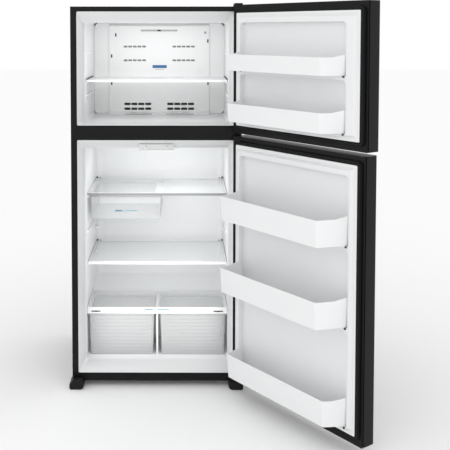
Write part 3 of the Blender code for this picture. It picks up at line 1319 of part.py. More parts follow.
def main():
    clear_scene()
    root = empty("refrigerator")
    make_case(root)
    make_liners(root)
    make_glass_shelf("upper_shelf", UPPER_SHELF_TOP, root)
    make_glass_shelf("middle_shelf", MIDDLE_SHELF_TOP, root)
    make_freezer_shelf(root)
    make_crisper_cover(root)
    make_crispers(root)
    make_deli(root)
    make_evaporator_cover(root)
    make_cold_side(root)
    make_controls(root)
    make_door("freezer", FREEZER_DOOR, FREEZER_BINS, (FREEZER_GRIP_LENGTH, False),
              DOOR_FREEZER_OPEN, root)
    make_door("fridge", FRIDGE_DOOR, FRIDGE_BINS, (FRIDGE_GRIP_LENGTH, True),
              DOOR_FRIDGE_OPEN, root)
    make_hinges(root)
    make_feet(root)
    make_machine(root)
    centre_on_floor(root)


main()
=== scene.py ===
# %% [markdown]
# # A top freezer refrigerator with its doors open
#
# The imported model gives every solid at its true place. This script dresses it: each
# moulding, pressing and pane gets softened edges, small fittings and its own finish,
# and then a camera and soft lamps look at it.
# %% Load the frame
import json
import math

import bmesh
import bpy
from mathutils import Matrix, Vector

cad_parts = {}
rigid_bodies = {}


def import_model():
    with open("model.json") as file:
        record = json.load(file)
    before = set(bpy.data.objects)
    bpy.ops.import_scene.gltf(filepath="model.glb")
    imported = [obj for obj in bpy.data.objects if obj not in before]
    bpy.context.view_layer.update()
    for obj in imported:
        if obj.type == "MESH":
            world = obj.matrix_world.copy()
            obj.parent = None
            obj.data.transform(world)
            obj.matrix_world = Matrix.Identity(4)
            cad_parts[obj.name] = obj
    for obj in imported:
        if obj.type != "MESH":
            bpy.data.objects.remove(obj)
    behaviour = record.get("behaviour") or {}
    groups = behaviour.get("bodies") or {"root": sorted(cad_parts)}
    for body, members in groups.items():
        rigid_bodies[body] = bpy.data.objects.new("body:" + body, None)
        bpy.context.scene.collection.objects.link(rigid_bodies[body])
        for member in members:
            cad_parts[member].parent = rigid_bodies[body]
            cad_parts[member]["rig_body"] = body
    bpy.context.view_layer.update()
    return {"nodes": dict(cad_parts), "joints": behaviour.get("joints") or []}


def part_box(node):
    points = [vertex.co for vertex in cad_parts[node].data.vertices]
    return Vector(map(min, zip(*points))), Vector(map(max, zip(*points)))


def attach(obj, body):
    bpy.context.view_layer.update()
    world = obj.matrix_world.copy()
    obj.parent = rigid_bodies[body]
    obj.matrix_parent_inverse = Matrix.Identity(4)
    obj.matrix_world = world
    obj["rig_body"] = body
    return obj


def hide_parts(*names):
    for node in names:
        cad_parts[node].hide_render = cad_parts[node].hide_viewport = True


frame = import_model()

# %% [markdown]
# Everything below is placed from the solids themselves. The cabinet has a centre line
# and a front face, so most places are easiest to say as a distance from those two.
# %% Find the cabinet's centre line and front
case_low, case_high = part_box("cabinet_wrapper")
MIDDLE = (case_low.x + case_high.x) / 2
FRONT = case_low.y
HINGE = Vector(frame["joints"][0]["pos_m"])
FULL_TURN = 2 * math.pi
OPEN = {"freezer_door": math.radians(126.8), "fridge_door": math.radians(126.1)}


def at(x, y, z):
    """A place from the cabinet's centre line, front face and the floor."""
    return Vector((MIDDLE + x, FRONT + y, z))


print("centre line", round(MIDDLE, 4), "front", round(FRONT, 4))

# %% [markdown]
# ## Camera
#
# The eye is just under the top of the cabinet, so the shelves are seen from above and
# the sides stay nearly upright. A view camera does that by sliding its film down
# rather than tilting, so most of the framing is lens shift with a little tilt.
# %% Place the camera
lens = bpy.data.cameras.new("camera")
lens.lens = 66.03
lens.shift_x, lens.shift_y = 0.0984, -0.3367
lens.clip_start, lens.clip_end = 0.1, 100
camera = bpy.data.objects.new("camera", lens)
bpy.context.scene.collection.objects.link(camera)
camera.location = at(0.125, -3.619, 1.591)
camera.rotation_euler = (math.radians(90 - 3), 0, 0.0046)
bpy.context.scene.camera = camera
print("camera at", [round(v, 3) for v in camera.location])

# %% [markdown]
# ## Finishes as expressions
#
# A finish is a small sum: a colour, plus a little noise, plus a line where a mask is
# one. Wrapping a socket in a class lets such a sum be written as Python, and each
# operator adds the Math node that does it.
# %% A socket that can be added and multiplied


class Signal:
    """One output socket of a finish, usable in sums."""

    def __init__(self, finish, socket):
        self.finish, self.socket = finish, socket

    def maths(self, operation, first, second=0.0):
        return self.finish.node("ShaderNodeMath", {"operation": operation},
                                {0: first, 1: second})[0]

    def __add__(self, other):
        return self.maths("ADD", self, other)

    __radd__ = __add__

    def __sub__(self, other):
        return self.maths("SUBTRACT", self, other)

    def __rsub__(self, other):
        return self.maths("SUBTRACT", other, self)

    def __mul__(self, other):
        return self.maths("MULTIPLY", self, other)

    __rmul__ = __mul__

    def __lt__(self, other):
        return self.maths("LESS_THAN", self, other)

    def __gt__(self, other):
        return self.maths("GREATER_THAN", self, other)

    def size(self):
        return self.maths("ABSOLUTE", self)

    def wave(self):
        return self.maths("SINE", self)

    def most(self, other):
        return self.maths("MAXIMUM", self, other)


# %% [markdown]
# Every other node comes from one method: it takes the node's type, its settings and
# what goes into its sockets, and it gives back the node's outputs in order.
# %% A finish: a material and its nodes


class Finish:
    """A Principled material whose nodes are added by name."""

    def __init__(self, name, colour, roughness, **fixed):
        self.material = bpy.data.materials.new(name)
        self.material.use_nodes = True
        self.tree = self.material.node_tree
        self.shader = self.tree.nodes["Principled BSDF"]
        self.material.diffuse_color = (*colour, 1)
        self.put("Base Color", (*colour, 1))
        self.put("Roughness", roughness)
        for label, value in fixed.items():
            self.put(label.replace("_", " ").title().replace("Ior", "IOR"), value)

    def put(self, label, value):
        """Set or link one of the shader's own sockets."""
        self.feed(self.shader.inputs[label], value)

    def feed(self, socket, value):
        if isinstance(value, Signal):
            self.tree.links.new(value.socket, socket)
        else:
            socket.default_value = value

    def node(self, kind, settings=None, sockets=None):
        """Add any node and give back its outputs."""
        made = self.tree.nodes.new(kind)
        for label, value in (settings or {}).items():
            setattr(made, label, value)
        for label, value in (sockets or {}).items():
            self.feed(made.inputs[label], value)
        return [Signal(self, output) for output in made.outputs]

    def place(self):
        """The point being shaded, as three numbers in the object's own frame."""
        spot = self.node("ShaderNodeTexCoord")[3]
        return self.node("ShaderNodeSeparateXYZ", None, {0: spot})

    def grain(self, scale, detail=2.0, stretch=(1, 1, 1)):
        """Noise from 0 to 1, with so many cells to the metre."""
        spot = self.node("ShaderNodeTexCoord")[3]
        turned = self.node("ShaderNodeMapping", None, {"Vector": spot, "Scale": stretch})[0]
        return self.node("ShaderNodeTexNoise", None,
                         {"Vector": turned, "Scale": scale, "Detail": detail})[0]

    def mix(self, mask, plain, marked):
        """One colour where the mask is 0 and another where it is 1."""
        return self.node("ShaderNodeMix", {"data_type": "RGBA"},
                         {"Factor": mask, 6: plain, 7: marked})[2]

    def relief(self, height, depth, strength=1.0):
        """Raise and sink the surface by a height from 0 to 1."""
        self.put("Normal", self.node("ShaderNodeBump", None, {
            "Height": height, "Distance": depth, "Strength": strength})[0])


# %% [markdown]
# ## The finishes of this refrigerator
#
# **Black enamel** covers the case and the doors. It is sprayed, so it is satin, with a
# fine orange peel, and over a broad sheet its gloss drifts a little.
# %% Black enamel


def black_enamel(name, shade=0.0060, gloss=0.36):
    finish = Finish(name, (shade, shade, shade), gloss, specular_ior_level=0.17)
    broad = finish.grain(3.0)
    peel = finish.grain(650.0, 1.0)
    finish.put("Base Color", finish.mix(broad, (shade * 0.8,) * 3 + (1,),
                                        (shade * 1.25,) * 3 + (1,)))
    finish.put("Roughness", gloss - 0.05 + broad * 0.07 + peel * 0.05)
    finish.relief(peel, 0.00012, 0.5)
    return finish.material


CASE_ENAMEL = black_enamel("case_enamel")
DOOR_ENAMEL = black_enamel("door_enamel", 0.0048, 0.33)
RAIL_ENAMEL = black_enamel("rail_enamel", 0.0055, 0.40)
print("enamels:", CASE_ENAMEL.name, DOOR_ENAMEL.name, RAIL_ENAMEL.name)

# %% [markdown]
# **Moulded black plastic** is duller and has a spark-eroded grain from the mould, so
# its bump is coarser than paint. The door seals are softer and duller still.
# %% Black plastics and rubber


def black_moulding(name, shade, gloss, grain_scale, depth):
    finish = Finish(name, (shade,) * 3, gloss, specular_ior_level=0.20)
    pebble = finish.grain(grain_scale, 3.0)
    worn = finish.grain(14.0)
    finish.put("Base Color", finish.mix(worn, (shade * 0.85,) * 3 + (1,),
                                        (shade * 1.4,) * 3 + (1,)))
    finish.put("Roughness", gloss + (pebble - 0.5) * 0.16)
    finish.relief(pebble, depth, 0.6)
    return finish.material


FOOT_PLASTIC = black_moulding("foot_plastic", 0.008, 0.52, 1100.0, 0.00025)
CAP_PLASTIC = black_moulding("hinge_cap_plastic", 0.006, 0.46, 1400.0, 0.00015)
SEAL_RUBBER = black_moulding("seal_rubber", 0.005, 0.68, 500.0, 0.00012)
DARK_CLIP = black_moulding("dark_clip", 0.045, 0.55, 900.0, 0.00010)
print("dark plastics:", FOOT_PLASTIC.name, CAP_PLASTIC.name, SEAL_RUBBER.name, DARK_CLIP.name)

# %% [markdown]
# **White polystyrene** lines the cabinet. The sheet is drawn over a mould, so it is
# smooth and softly glossy, with a faint waviness, and it is a touch cooler where it
# was stretched thin. Injection-moulded trim is the same white but crisper.
# %% White plastics


WAVES, SILK = 6.0, 420.0         # broad waviness and fine silk, in cells to the metre
COOLER = (0.975, 0.982, 0.99)


def white_sheet(name, colour, gloss, ripple=0.00025):
    finish = Finish(name, colour, gloss, specular_ior_level=0.42)
    drawn = finish.grain(WAVES)
    silk = finish.grain(SILK, 1.0)
    cool = tuple(c * f for c, f in zip(colour, COOLER))
    finish.put("Base Color", finish.mix(drawn, (*colour, 1), (*cool, 1)))
    finish.put("Roughness", gloss + drawn * 0.06 + (silk - 0.5) * 0.10)
    finish.relief(drawn * 0.7 + silk * 0.3, ripple, 0.5)
    return finish.material


LINER_WHITE = white_sheet("liner_white", (0.82, 0.825, 0.825), 0.34)
DOOR_LINER_WHITE = white_sheet("door_liner_white", (0.83, 0.835, 0.837), 0.36)
BIN_WHITE = white_sheet("bin_white", (0.85, 0.854, 0.856), 0.30, 0.00012)
TRIM_WHITE = white_sheet("trim_white", (0.85, 0.853, 0.853), 0.30, 0.00010)
SHELF_WHITE = white_sheet("shelf_edge_white", (0.74, 0.743, 0.743), 0.28, 0.00008)
GREY_TRIM = white_sheet("grey_edge_trim", (0.36, 0.365, 0.37), 0.34, 0.00008)
SHELF_BAND = white_sheet("grey_shelf_band", (0.25, 0.255, 0.26), 0.34, 0.00008)
LABEL_BLUE = white_sheet("label_blue", (0.045, 0.150, 0.360), 0.30, 0.00004)
print("liner white:", LINER_WHITE.name, "bin white:", BIN_WHITE.name)

# %% [markdown]
# Some white pieces carry a plain mark: a dial has a pointer, and the cover of the
# crispers has two blue bars. A mark is a box-shaped mask in the piece's own
# coordinates, so it turns or slides with the piece. The vent slides are dark, with
# lighter ribs from a wave across them.
# %% White pieces with a mark


def box_mask(finish, centre, half):
    """One inside a box about a place, nought outside it."""
    inside = None
    for socket, middle, reach in zip(finish.place(), centre, half):
        near = (socket - middle).size() < reach
        inside = near if inside is None else inside * near
    return inside


def marked_white(name, colour, mark, boxes):
    finish = Finish(name, colour, 0.30, specular_ior_level=0.42)
    mask = None
    for centre, half in boxes:
        here = box_mask(finish, centre, half)
        mask = here if mask is None else mask.most(here)
    silk = finish.grain(SILK, 1.0)
    finish.put("Base Color", finish.mix(mask, (*colour, 1), (*mark, 1)))
    finish.put("Roughness", 0.28 + silk * 0.06)
    finish.relief(silk, 0.00006, 0.4)
    return finish.material


DIALS = []
for node in ("fridge_control_knob", "freezer_control_knob"):
    low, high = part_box(node)
    pointer = Vector(((low.x + high.x) / 2, low.y, high.z - 0.004))
    DIALS.append((pointer, (0.0011, 0.006, 0.0034)))
DIAL_WHITE = marked_white("dial_white", (0.80, 0.803, 0.803), (0.10, 0.10, 0.105), DIALS)
cover_low, cover_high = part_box("crisper_cover_frame")
BAR_Z = cover_high.z - 0.0102
COVER_BARS = [(Vector((MIDDLE - 0.037, cover_low.y, BAR_Z)), (0.018, 0.003, 0.0026)),
              (Vector((MIDDLE + 0.030, cover_low.y, BAR_Z)), (0.027, 0.003, 0.0021))]
COVER_WHITE = marked_white("crisper_cover_white", (0.74, 0.743, 0.743),
                           (0.09, 0.27, 0.36), COVER_BARS)


SLIDE_PITCH = 0.0056
SLIDE_BLACK, SLIDE_RIB = (0.010, 0.010, 0.011), (0.16, 0.16, 0.165)


def slide_finish():
    """Dark, with lighter ribs across the slide."""
    finish = Finish("vent_slide", SLIDE_BLACK, 0.45)
    ribs = (finish.place()[0] * (FULL_TURN / SLIDE_PITCH)).wave() > 0.55
    grain = finish.grain(600.0, 1.0)
    finish.put("Base Color", finish.mix(ribs, (*SLIDE_BLACK, 1), (*SLIDE_RIB, 1)))
    finish.put("Roughness", 0.42 + grain * 0.08)
    return finish.material


SLIDE_DARK = slide_finish()
print("marked:", DIAL_WHITE.name, COVER_WHITE.name, SLIDE_DARK.name)

# %% [markdown]
# ** The freezer's back panel** is one moulding with shallow grooves in it: a short line
# over the lamp slot, and notches and a drain gap along the sloping toe that carries
# the thaw water. They are too shallow to be worth cutting, so the finish sinks them
# with a bump and paints shade into them.
# %% The freezer back panel's grooves
panel_low, panel_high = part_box("evaporator_cover")
TOE_DEPTH = 0.040
PANEL_FACE = panel_low.y + TOE_DEPTH


def back_panel_white():
    white, shadow = (0.86, 0.864, 0.864), (0.30, 0.305, 0.31)
    finish = Finish("back_panel_white", white, 0.38, specular_ior_level=0.40)
    x, y, z = finish.place()
    x = (x - MIDDLE).size()
    top_line = ((z - (panel_high.z - 0.011)).size() < 0.0010) * (x < 0.109)
    on_toe = (z < panel_low.z + 0.014) * (x > 0.036) * (x < 0.168)
    gutter = on_toe * (y < panel_low.y + 0.0012)
    step = ((y - (PANEL_FACE - 0.020)).size() < 0.008) * on_toe
    notches = step * (((x * 110.0).wave()) > -0.35)
    groove_and_shade = (top_line * 0.6).most(gutter * 1.6).most(notches * 0.4)
    drawn = finish.grain(WAVES)
    # Where the grooves lie, the white is mixed toward a dark shadow colour: painted shade in
    # the grooves.
    finish.put("Base Color", finish.mix(groove_and_shade * 0.6, (*white, 1), (*shadow, 1)))
    finish.put("Roughness", 0.36 + drawn * 0.08)
    finish.relief(drawn * 0.15 - groove_and_shade * 0.6, 0.0012, 0.6)
    return finish.material


PANEL_WHITE = back_panel_white()
print("panel face at", round(PANEL_FACE, 4))

# %% [markdown]
# **Clear polystyrene and glass.** A thin clear wall shows little when seen square on
# and a lot at its edges and corners, where one looks along it. Alpha follows that
# with a facing weight, which is the same from every side, so no camera is involved.
# The drawers have shallow ribs along them, put in as fine lines and relief, and the
# hanging drawer carries three small blue bars.
# %% Clear plastic and glass


FACING_BLEND = 0.35


def clear_wall(name, tint, edge, face_alpha, edge_alpha, gloss, ribs=0.0, bars=()):
    finish = Finish(name, tint, gloss, specular_ior_level=0.55)
    facing = finish.node("ShaderNodeLayerWeight", None, {"Blend": FACING_BLEND})[1]
    haze = finish.grain(40.0)
    colour = finish.mix(facing, (*tint, 1), (*edge, 1))
    alpha = face_alpha + facing * (edge_alpha - face_alpha)
    if ribs:
        height = (finish.place()[2] * (FULL_TURN / ribs)).wave()
        line = (height > 0.72) * 0.30
        colour = finish.mix(line, colour, (0.45, 0.46, 0.47, 1))
        alpha = alpha.most(line)
    for centre, half, mark in bars:
        inside = box_mask(finish, centre, half)
        colour = finish.mix(inside, colour, (*mark, 1))
        alpha = alpha.most(inside * 0.85)
    finish.put("Base Color", colour)
    finish.put("Alpha", alpha)
    finish.put("Roughness", gloss + haze * 0.06)
    if ribs:
        finish.relief(height * 0.5 + haze * 0.1, 0.0012, 0.9)
    else:
        finish.relief(haze, 0.0003, 0.25)
    material = finish.material
    material.surface_render_method = "BLENDED"
    return material


DRAWER_CLEAR = clear_wall("drawer_clear", (0.90, 0.907, 0.91), (0.42, 0.44, 0.45),
                          0.24, 0.86, 0.18, ribs=0.0165)
tray_low, tray_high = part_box("deli_drawer")
tray_bar_z = tray_low.z + 0.038
TRAY_BARS = [(Vector((MIDDLE + x, tray_low.y, tray_bar_z)), (half, 0.010, height), mark)
             for x, half, height, mark in ((-0.177, 0.017, 0.0028, (0.07, 0.20, 0.28)),
                                           (-0.152, 0.0010, 0.0075, (0.12, 0.28, 0.36)),
                                           (-0.118, 0.025, 0.0018, (0.16, 0.34, 0.42)))]
TRAY_CLEAR = clear_wall("tray_clear", (0.92, 0.93, 0.935), (0.30, 0.32, 0.33),
                        0.16, 0.90, 0.12, bars=TRAY_BARS)
SHELF_GLASS = clear_wall("shelf_glass_pane", (0.93, 0.95, 0.95), (0.88, 0.90, 0.90),
                         0.06, 0.42, 0.07)
print("clear walls:", DRAWER_CLEAR.name, TRAY_CLEAR.name, SHELF_GLASS.name)

# %% [markdown]
# **Plated steel** for hinges and brackets is zinc: grey, with soft blotchy crystals
# and fine drawing lines. The coils are bare tube, aluminium in the freezer and
# painted steel underneath, and the foam is a cut, open-celled ochre.
# %% Metals and foam


def plated(name, colour, gloss, drawn=(1, 1, 1)):
    finish = Finish(name, colour, gloss, metallic=1.0)
    crystals = finish.grain(90.0, 4.0)
    lines = finish.grain(380.0, 1.0, drawn)
    dim = tuple(c * 0.72 for c in colour)
    finish.put("Base Color", finish.mix(crystals, (*colour, 1), (*dim, 1)))
    finish.put("Roughness", gloss + crystals * 0.12 + lines * 0.06)
    finish.relief(lines, 0.00008, 0.5)
    return finish.material


ZINC = plated("zinc_plate", (0.42, 0.43, 0.44), 0.30)
COIL_ALUMINIUM = plated("coil_aluminium", (0.70, 0.71, 0.72), 0.28, (1, 8, 8))
COIL_COPPER = plated("condenser_tube", (0.50, 0.27, 0.18), 0.34, (1, 8, 8))


def cut_foam():
    finish = Finish("cut_foam", (0.70, 0.58, 0.30), 0.9)
    cells = finish.grain(260.0, 5.0)
    finish.put("Base Color", finish.mix(cells, (0.76, 0.64, 0.35, 1), (0.58, 0.46, 0.22, 1)))
    finish.put("Roughness", 0.82 + cells * 0.12)
    finish.relief(cells, 0.0008, 0.8)
    return finish.material


FOAM = cut_foam()


def lamp_finish():
    finish = Finish("lamp_frosted", (0.95, 0.95, 0.93), 0.45, emission_strength=6.0)
    frost = finish.grain(700.0, 1.0)
    finish.put("Emission Color", finish.mix(frost, (1.0, 0.98, 0.94, 1),
                                            (0.92, 0.90, 0.86, 1)))
    finish.put("Roughness", 0.4 + frost * 0.15)
    return finish.material


LAMP = lamp_finish()
print("metals, foam and lamp:", ZINC.name, FOAM.name, LAMP.name)

# %% [markdown]
# ## Softening the solids
#
# The solids have knife edges, and real sheet and plastic never do. A copy of each
# solid is merged, its flat faces are made whole again, its edges get a small round by
# a bevel, and it is smoothed across shallow angles. Weighted normals then keep the
# big flats flat in the light. The solid itself is hidden and keeps its job in the
# physics.
# %% Helpers that select, soften and hand over


def only(thing):
    """Select one object and nothing else."""
    if bpy.context.mode != "OBJECT":
        bpy.ops.object.mode_set(mode="OBJECT")
    bpy.ops.object.select_all(action="DESELECT")
    thing.select_set(True)
    bpy.context.view_layer.objects.active = thing


def smooth(thing, angle):
    only(thing)
    bpy.ops.object.shade_smooth_by_angle(angle=math.radians(angle))


def soften(node, finish, width=0.0008, segments=2, angle=38):
    """A rounded copy of a solid that takes its place on the same body."""
    solid = frame["nodes"][node]
    copy = bpy.data.objects.new(f"{node}_finished", solid.data.copy())
    bpy.context.scene.collection.objects.link(copy)
    only(copy)
    bpy.ops.object.mode_set(mode="EDIT")
    bpy.ops.mesh.select_all(action="SELECT")
    bpy.ops.mesh.remove_doubles(threshold=0.00002)
    bpy.ops.mesh.dissolve_limited(angle_limit=math.radians(0.4))
    bpy.ops.object.mode_set(mode="OBJECT")
    edge = copy.modifiers.new("edge", "BEVEL")
    edge.width, edge.segments = width, segments
    edge.limit_method, edge.angle_limit = "ANGLE", math.radians(40)
    edge.use_clamp_overlap = True
    bpy.ops.object.modifier_apply(modifier="edge")
    smooth(copy, angle)
    level = copy.modifiers.new("level", "WEIGHTED_NORMAL")
    level.keep_sharp = True
    bpy.ops.object.modifier_apply(modifier="level")
    copy.data.materials.clear()
    copy.data.materials.append(finish)
    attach(copy, solid["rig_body"])
    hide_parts(node)


# %% [markdown]
# The case and its cross rails come first, then the doors and their seals: pressed
# steel, with edges rounded by about half a millimetre, and softer rubber and feet.
# %% Steelwork
soften("cabinet_wrapper", CASE_ENAMEL, 0.0004, 2)
soften("mullion_rail", RAIL_ENAMEL, 0.0003, 1)
soften("bottom_rail", RAIL_ENAMEL, 0.0003, 1)
for door in ("freezer", "fridge"):
    soften(f"{door}_door_shell", DOOR_ENAMEL, 0.0006, 2)
    soften(f"{door}_door_gasket", SEAL_RUBBER, 0.0012, 2)
soften("top_hinge_cover", CAP_PLASTIC, 0.0007, 2)
for side in ("left", "right"):
    soften(f"front_foot_{side}", FOOT_PLASTIC, 0.0014, 3)

# %% [markdown]
# The white mouldings have bigger rounds, because sheet drawn over a mould thins and
# tears at a sharp corner. Bins and shelf rims are injection moulded and crisper.
# %% White mouldings
soften("freezer_liner", LINER_WHITE, 0.0009, 2, 42)
soften("fridge_liner", LINER_WHITE, 0.0009, 2, 42)
soften("evaporator_cover", PANEL_WHITE, 0.0008, 2)
for door in ("freezer", "fridge"):
    soften(f"{door}_door_liner", DOOR_LINER_WHITE, 0.0016, 3, 42)
for node in ("freezer_door_bin_lower", "freezer_door_bin_upper", "fridge_door_bin_lower",
             "fridge_door_bin_middle", "fridge_door_bin_upper"):
    soften(node, BIN_WHITE, 0.0008, 2)
soften("freezer_shelf", SHELF_WHITE, 0.0012, 2)
for node in ("upper_shelf_frame", "middle_shelf_frame", "deli_drawer_hanger",
             "crisper_divider", "control_housing"):
    soften(node, SHELF_WHITE, 0.0007, 2)
soften("crisper_cover_frame", COVER_WHITE, 0.0007, 2)
for node in ("fridge_control_knob", "freezer_control_knob"):
    soften(node, DIAL_WHITE, 0.0005, 3)
for node in ("humidity_slider_left", "humidity_slider_right"):
    soften(node, SLIDE_DARK, 0.0003, 2)

# %% [markdown]
# Clear drawers catch the light along every rounded edge, so their rounds matter most.
# %% Clear drawers and panes
for side in ("left", "right"):
    soften(f"crisper_drawer_{side}", DRAWER_CLEAR, 0.0007, 2)
soften("deli_drawer", TRAY_CLEAR, 0.0007, 2)
for node in ("upper_shelf_glass", "middle_shelf_glass", "crisper_cover_glass"):
    soften(node, SHELF_GLASS, 0.0006, 2)

# %% [markdown]
# The rest is seen from behind or below, or not at all. It keeps its own solids, and
# each gets the finish of the real thing.
# %% Finishes for the solids that stay
KEPT = {
    CASE_ENAMEL: ("cabinet_back", "machine_cover", "compressor", "top_hinge",
                  "centre_hinge", "bottom_hinge"),
    ZINC: ("base_plate", "roller_bracket_left", "roller_bracket_right"),
    FOOT_PLASTIC: ("rear_roller_left", "rear_roller_right", "drain_pan"),
    CAP_PLASTIC: ("mullion_plug", "evaporator_fan_motor", "evaporator_fan_blade",
                  "condenser_fan_motor", "condenser_fan_blade"),
    FOAM: ("cabinet_foam", "freezer_door_foam", "fridge_door_foam"),
    COIL_ALUMINIUM: ("evaporator_coil",),
    COIL_COPPER: ("condenser_coil",),
    LAMP: ("lamp_bulb",),
}
for finish, nodes in KEPT.items():
    for node in nodes:
        mesh = frame["nodes"][node].data
        mesh.materials.clear()
        mesh.materials.append(finish)
print("kept solids:", sum(len(nodes) for nodes in KEPT.values()))

# %% [markdown]
# ## Small fittings
#
# The solids stop at the sizes that matter to the build. The small things that make it
# look made come now: clips, lugs, louvres and screws. Each starts as a cube or a
# cylinder; some are shaped in edit mode, and the blocks get their edges rounded by a
# bevel. The steps they share are these helpers.
# %% Helpers for modelling a fitting


def begin(kind, **settings):
    """Add a primitive with nothing else selected."""
    if bpy.context.mode != "OBJECT":
        bpy.ops.object.mode_set(mode="OBJECT")
    bpy.ops.object.select_all(action="DESELECT")
    getattr(bpy.ops.mesh, f"primitive_{kind}_add")(**settings)
    return bpy.context.object


def pick(thing, kind, wanted):
    """Go into edit mode with only the wanted faces or edges selected."""
    bpy.ops.object.mode_set(mode="EDIT")
    bpy.ops.mesh.select_mode(type=kind)
    bpy.ops.mesh.select_all(action="DESELECT")
    cage = bmesh.from_edit_mesh(thing.data)
    for part in (cage.faces if kind == "FACE" else cage.edges):
        part.select_set(wanted(part))
    bmesh.update_edit_mesh(thing.data)


def hand_over(piece, finish, body):
    """Round off a fitting: its finish and the body it moves with."""
    piece.data.materials.clear()
    piece.data.materials.append(finish)
    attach(piece, body)


def block(name, low, high, finish, radius=0.0008, dish=0.0, body="cabinet"):
    """A moulded block between two corners, with a dished front and rounded edges."""
    low, high = Vector(low), Vector(high)
    piece = begin("cube", size=1, location=(low + high) / 2)
    piece.name = name
    piece.scale = high - low
    bpy.ops.object.transform_apply(location=True, rotation=True, scale=True)
    if dish:
        pick(piece, "FACE", lambda face: face.normal.y < -0.9)
        bpy.ops.mesh.inset(thickness=dish)
        bpy.ops.transform.translate(value=(0, dish * 0.5, 0))
        bpy.ops.object.mode_set(mode="OBJECT")
    edge = piece.modifiers.new("edge", "BEVEL")
    edge.width, edge.segments = radius, 3
    edge.limit_method, edge.angle_limit = "ANGLE", math.radians(35)
    bpy.ops.object.modifier_apply(modifier="edge")
    smooth(piece, 40)
    hand_over(piece, finish, body)
    return piece


# %% [markdown]
# The freezer's back panel has a lens in its slot, five spring clips that hold it, a
# capped screw, a white bead round it, and one blue sticker, left plain, with a fine
# grey rule under it.
# %% Fittings of the freezer's back panel
SLOT_TOP = panel_high.z - 0.029
SLOT_BOTTOM = panel_high.z - 0.038


def on_panel(x, proud, z):
    """A place on the panel, so far in front of its face."""
    return Vector((MIDDLE + x, PANEL_FACE - proud, z))


def lens_finish():
    finish = Finish("slot_lens", (0.50, 0.505, 0.51), 0.22)
    x = (finish.place()[0] - MIDDLE).size()
    frost = finish.grain(90.0)
    shade = finish.mix(x < 0.008, finish.mix(frost, (0.56, 0.565, 0.57, 1),
                                             (0.36, 0.365, 0.37, 1)), (0.03, 0.03, 0.03, 1))
    finish.put("Base Color", shade)
    finish.put("Roughness", 0.20 + frost * 0.10)
    return finish.material


block("light_slot_lens", on_panel(-0.0910, -0.0006, SLOT_BOTTOM + 0.0004),
      on_panel(0.0910, -0.0022, SLOT_TOP - 0.0004), lens_finish(), 0.0003)
PANEL_CLIPS = ((-0.214, 1.568), (-0.235, 1.464), (-0.235, 1.329), (0.240, 1.538),
               (0.241, 1.329))
for number, (x, z) in enumerate(PANEL_CLIPS):
    block(f"panel_clip_{number + 1}", on_panel(x - 0.0034, 0.0016, z - 0.0080),
          on_panel(x + 0.0034, 0.0001, z + 0.0080), DARK_CLIP, 0.0005, 0.001)
block("panel_label", on_panel(-0.033, 0.0006, 1.4045), on_panel(0.037, 0.0001, 1.4190),
      LABEL_BLUE, 0.00015)
block("panel_label_rule", on_panel(-0.020, 0.0005, 1.3965), on_panel(0.024, 0.0001, 1.3985),
      GREY_TRIM, 0.0001)

SIDE_GAP = 0.0020
WING_FACE = PANEL_FACE + 0.006
for side, x in (("left", panel_low.x - SIDE_GAP + 0.0003), ("right", panel_high.x + 0.0001)):
    block(f"panel_bead_{side}", (x, WING_FACE - 0.0006, panel_low.z + 0.013),
          (x + SIDE_GAP - 0.0004, WING_FACE + 0.0022, panel_high.z - 0.013), TRIM_WHITE,
          0.0004)
block("panel_bead_top", (panel_low.x + 0.013, WING_FACE - 0.0006, panel_high.z + 0.0002),
      (panel_high.x - 0.013, WING_FACE + 0.0022, panel_high.z + 0.0028), TRIM_WHITE,
      0.0004)

cap = begin("cylinder", vertices=28, radius=0.0058, depth=0.0016,
            location=on_panel(0.227, 0.0010, 1.5795), rotation=(math.pi / 2, 0, 0))
cap.name = "panel_screw_cap"
bpy.ops.object.transform_apply(location=True, rotation=True, scale=True)
pick(cap, "FACE", lambda face: face.normal.y < -0.9)
bpy.ops.mesh.inset(thickness=0.0016)
bpy.ops.transform.translate(value=(0, 0.0005, 0))
bpy.ops.object.mode_set(mode="OBJECT")
smooth(cap, 35)
hand_over(cap, GREY_TRIM, "cabinet")

# %% [markdown]
# Behind each row of vents stands a set of slanting slats. One slat is shaped, and an
# array repeats it along the row.
# %% Louvres behind the vents
# height, near end, far end, slot height, pitch, half thickness, finish
VENT_ROWS = ((0.332, 0.066, 0.175, 0.009, 0.0031, 0.0016, GREY_TRIM),
             (0.264, 0.066, 0.175, 0.009, 0.0031, 0.0016, GREY_TRIM),
             (0.048, 0.040, 0.1725, 0.012, 0.0052, 0.0012, DARK_CLIP),
             (0.024, 0.040, 0.1725, 0.012, 0.0052, 0.0012, DARK_CLIP))
for row, (rise, near, far, height, pitch, thick, finish) in enumerate(VENT_ROWS):
    z = panel_low.z + rise
    for side, start in (("left", -far), ("right", near)):
        slats = begin("cube", size=1, location=on_panel(start + thick, -0.0046, z))
        slats.name = f"vent_slats_{side}_{row + 1}"
        slats.scale = (thick, 0.0030, height + 0.003)
        bpy.ops.object.transform_apply(location=True, rotation=True, scale=True)
        pick(slats, "FACE", lambda face: face.normal.y > 0.9)
        bpy.ops.transform.translate(value=(pitch * 0.4, 0, 0))
        bpy.ops.object.mode_set(mode="OBJECT")
        along = slats.modifiers.new("along", "ARRAY")
        along.count = int((far - near) / pitch)
        along.use_relative_offset, along.use_constant_offset = False, True
        along.constant_offset_displace = (pitch, 0, 0)
        bpy.ops.object.modifier_apply(modifier="along")
        smooth(slats, 30)
        hand_over(slats, finish, "cabinet")
print("vent rows:", len(VENT_ROWS))
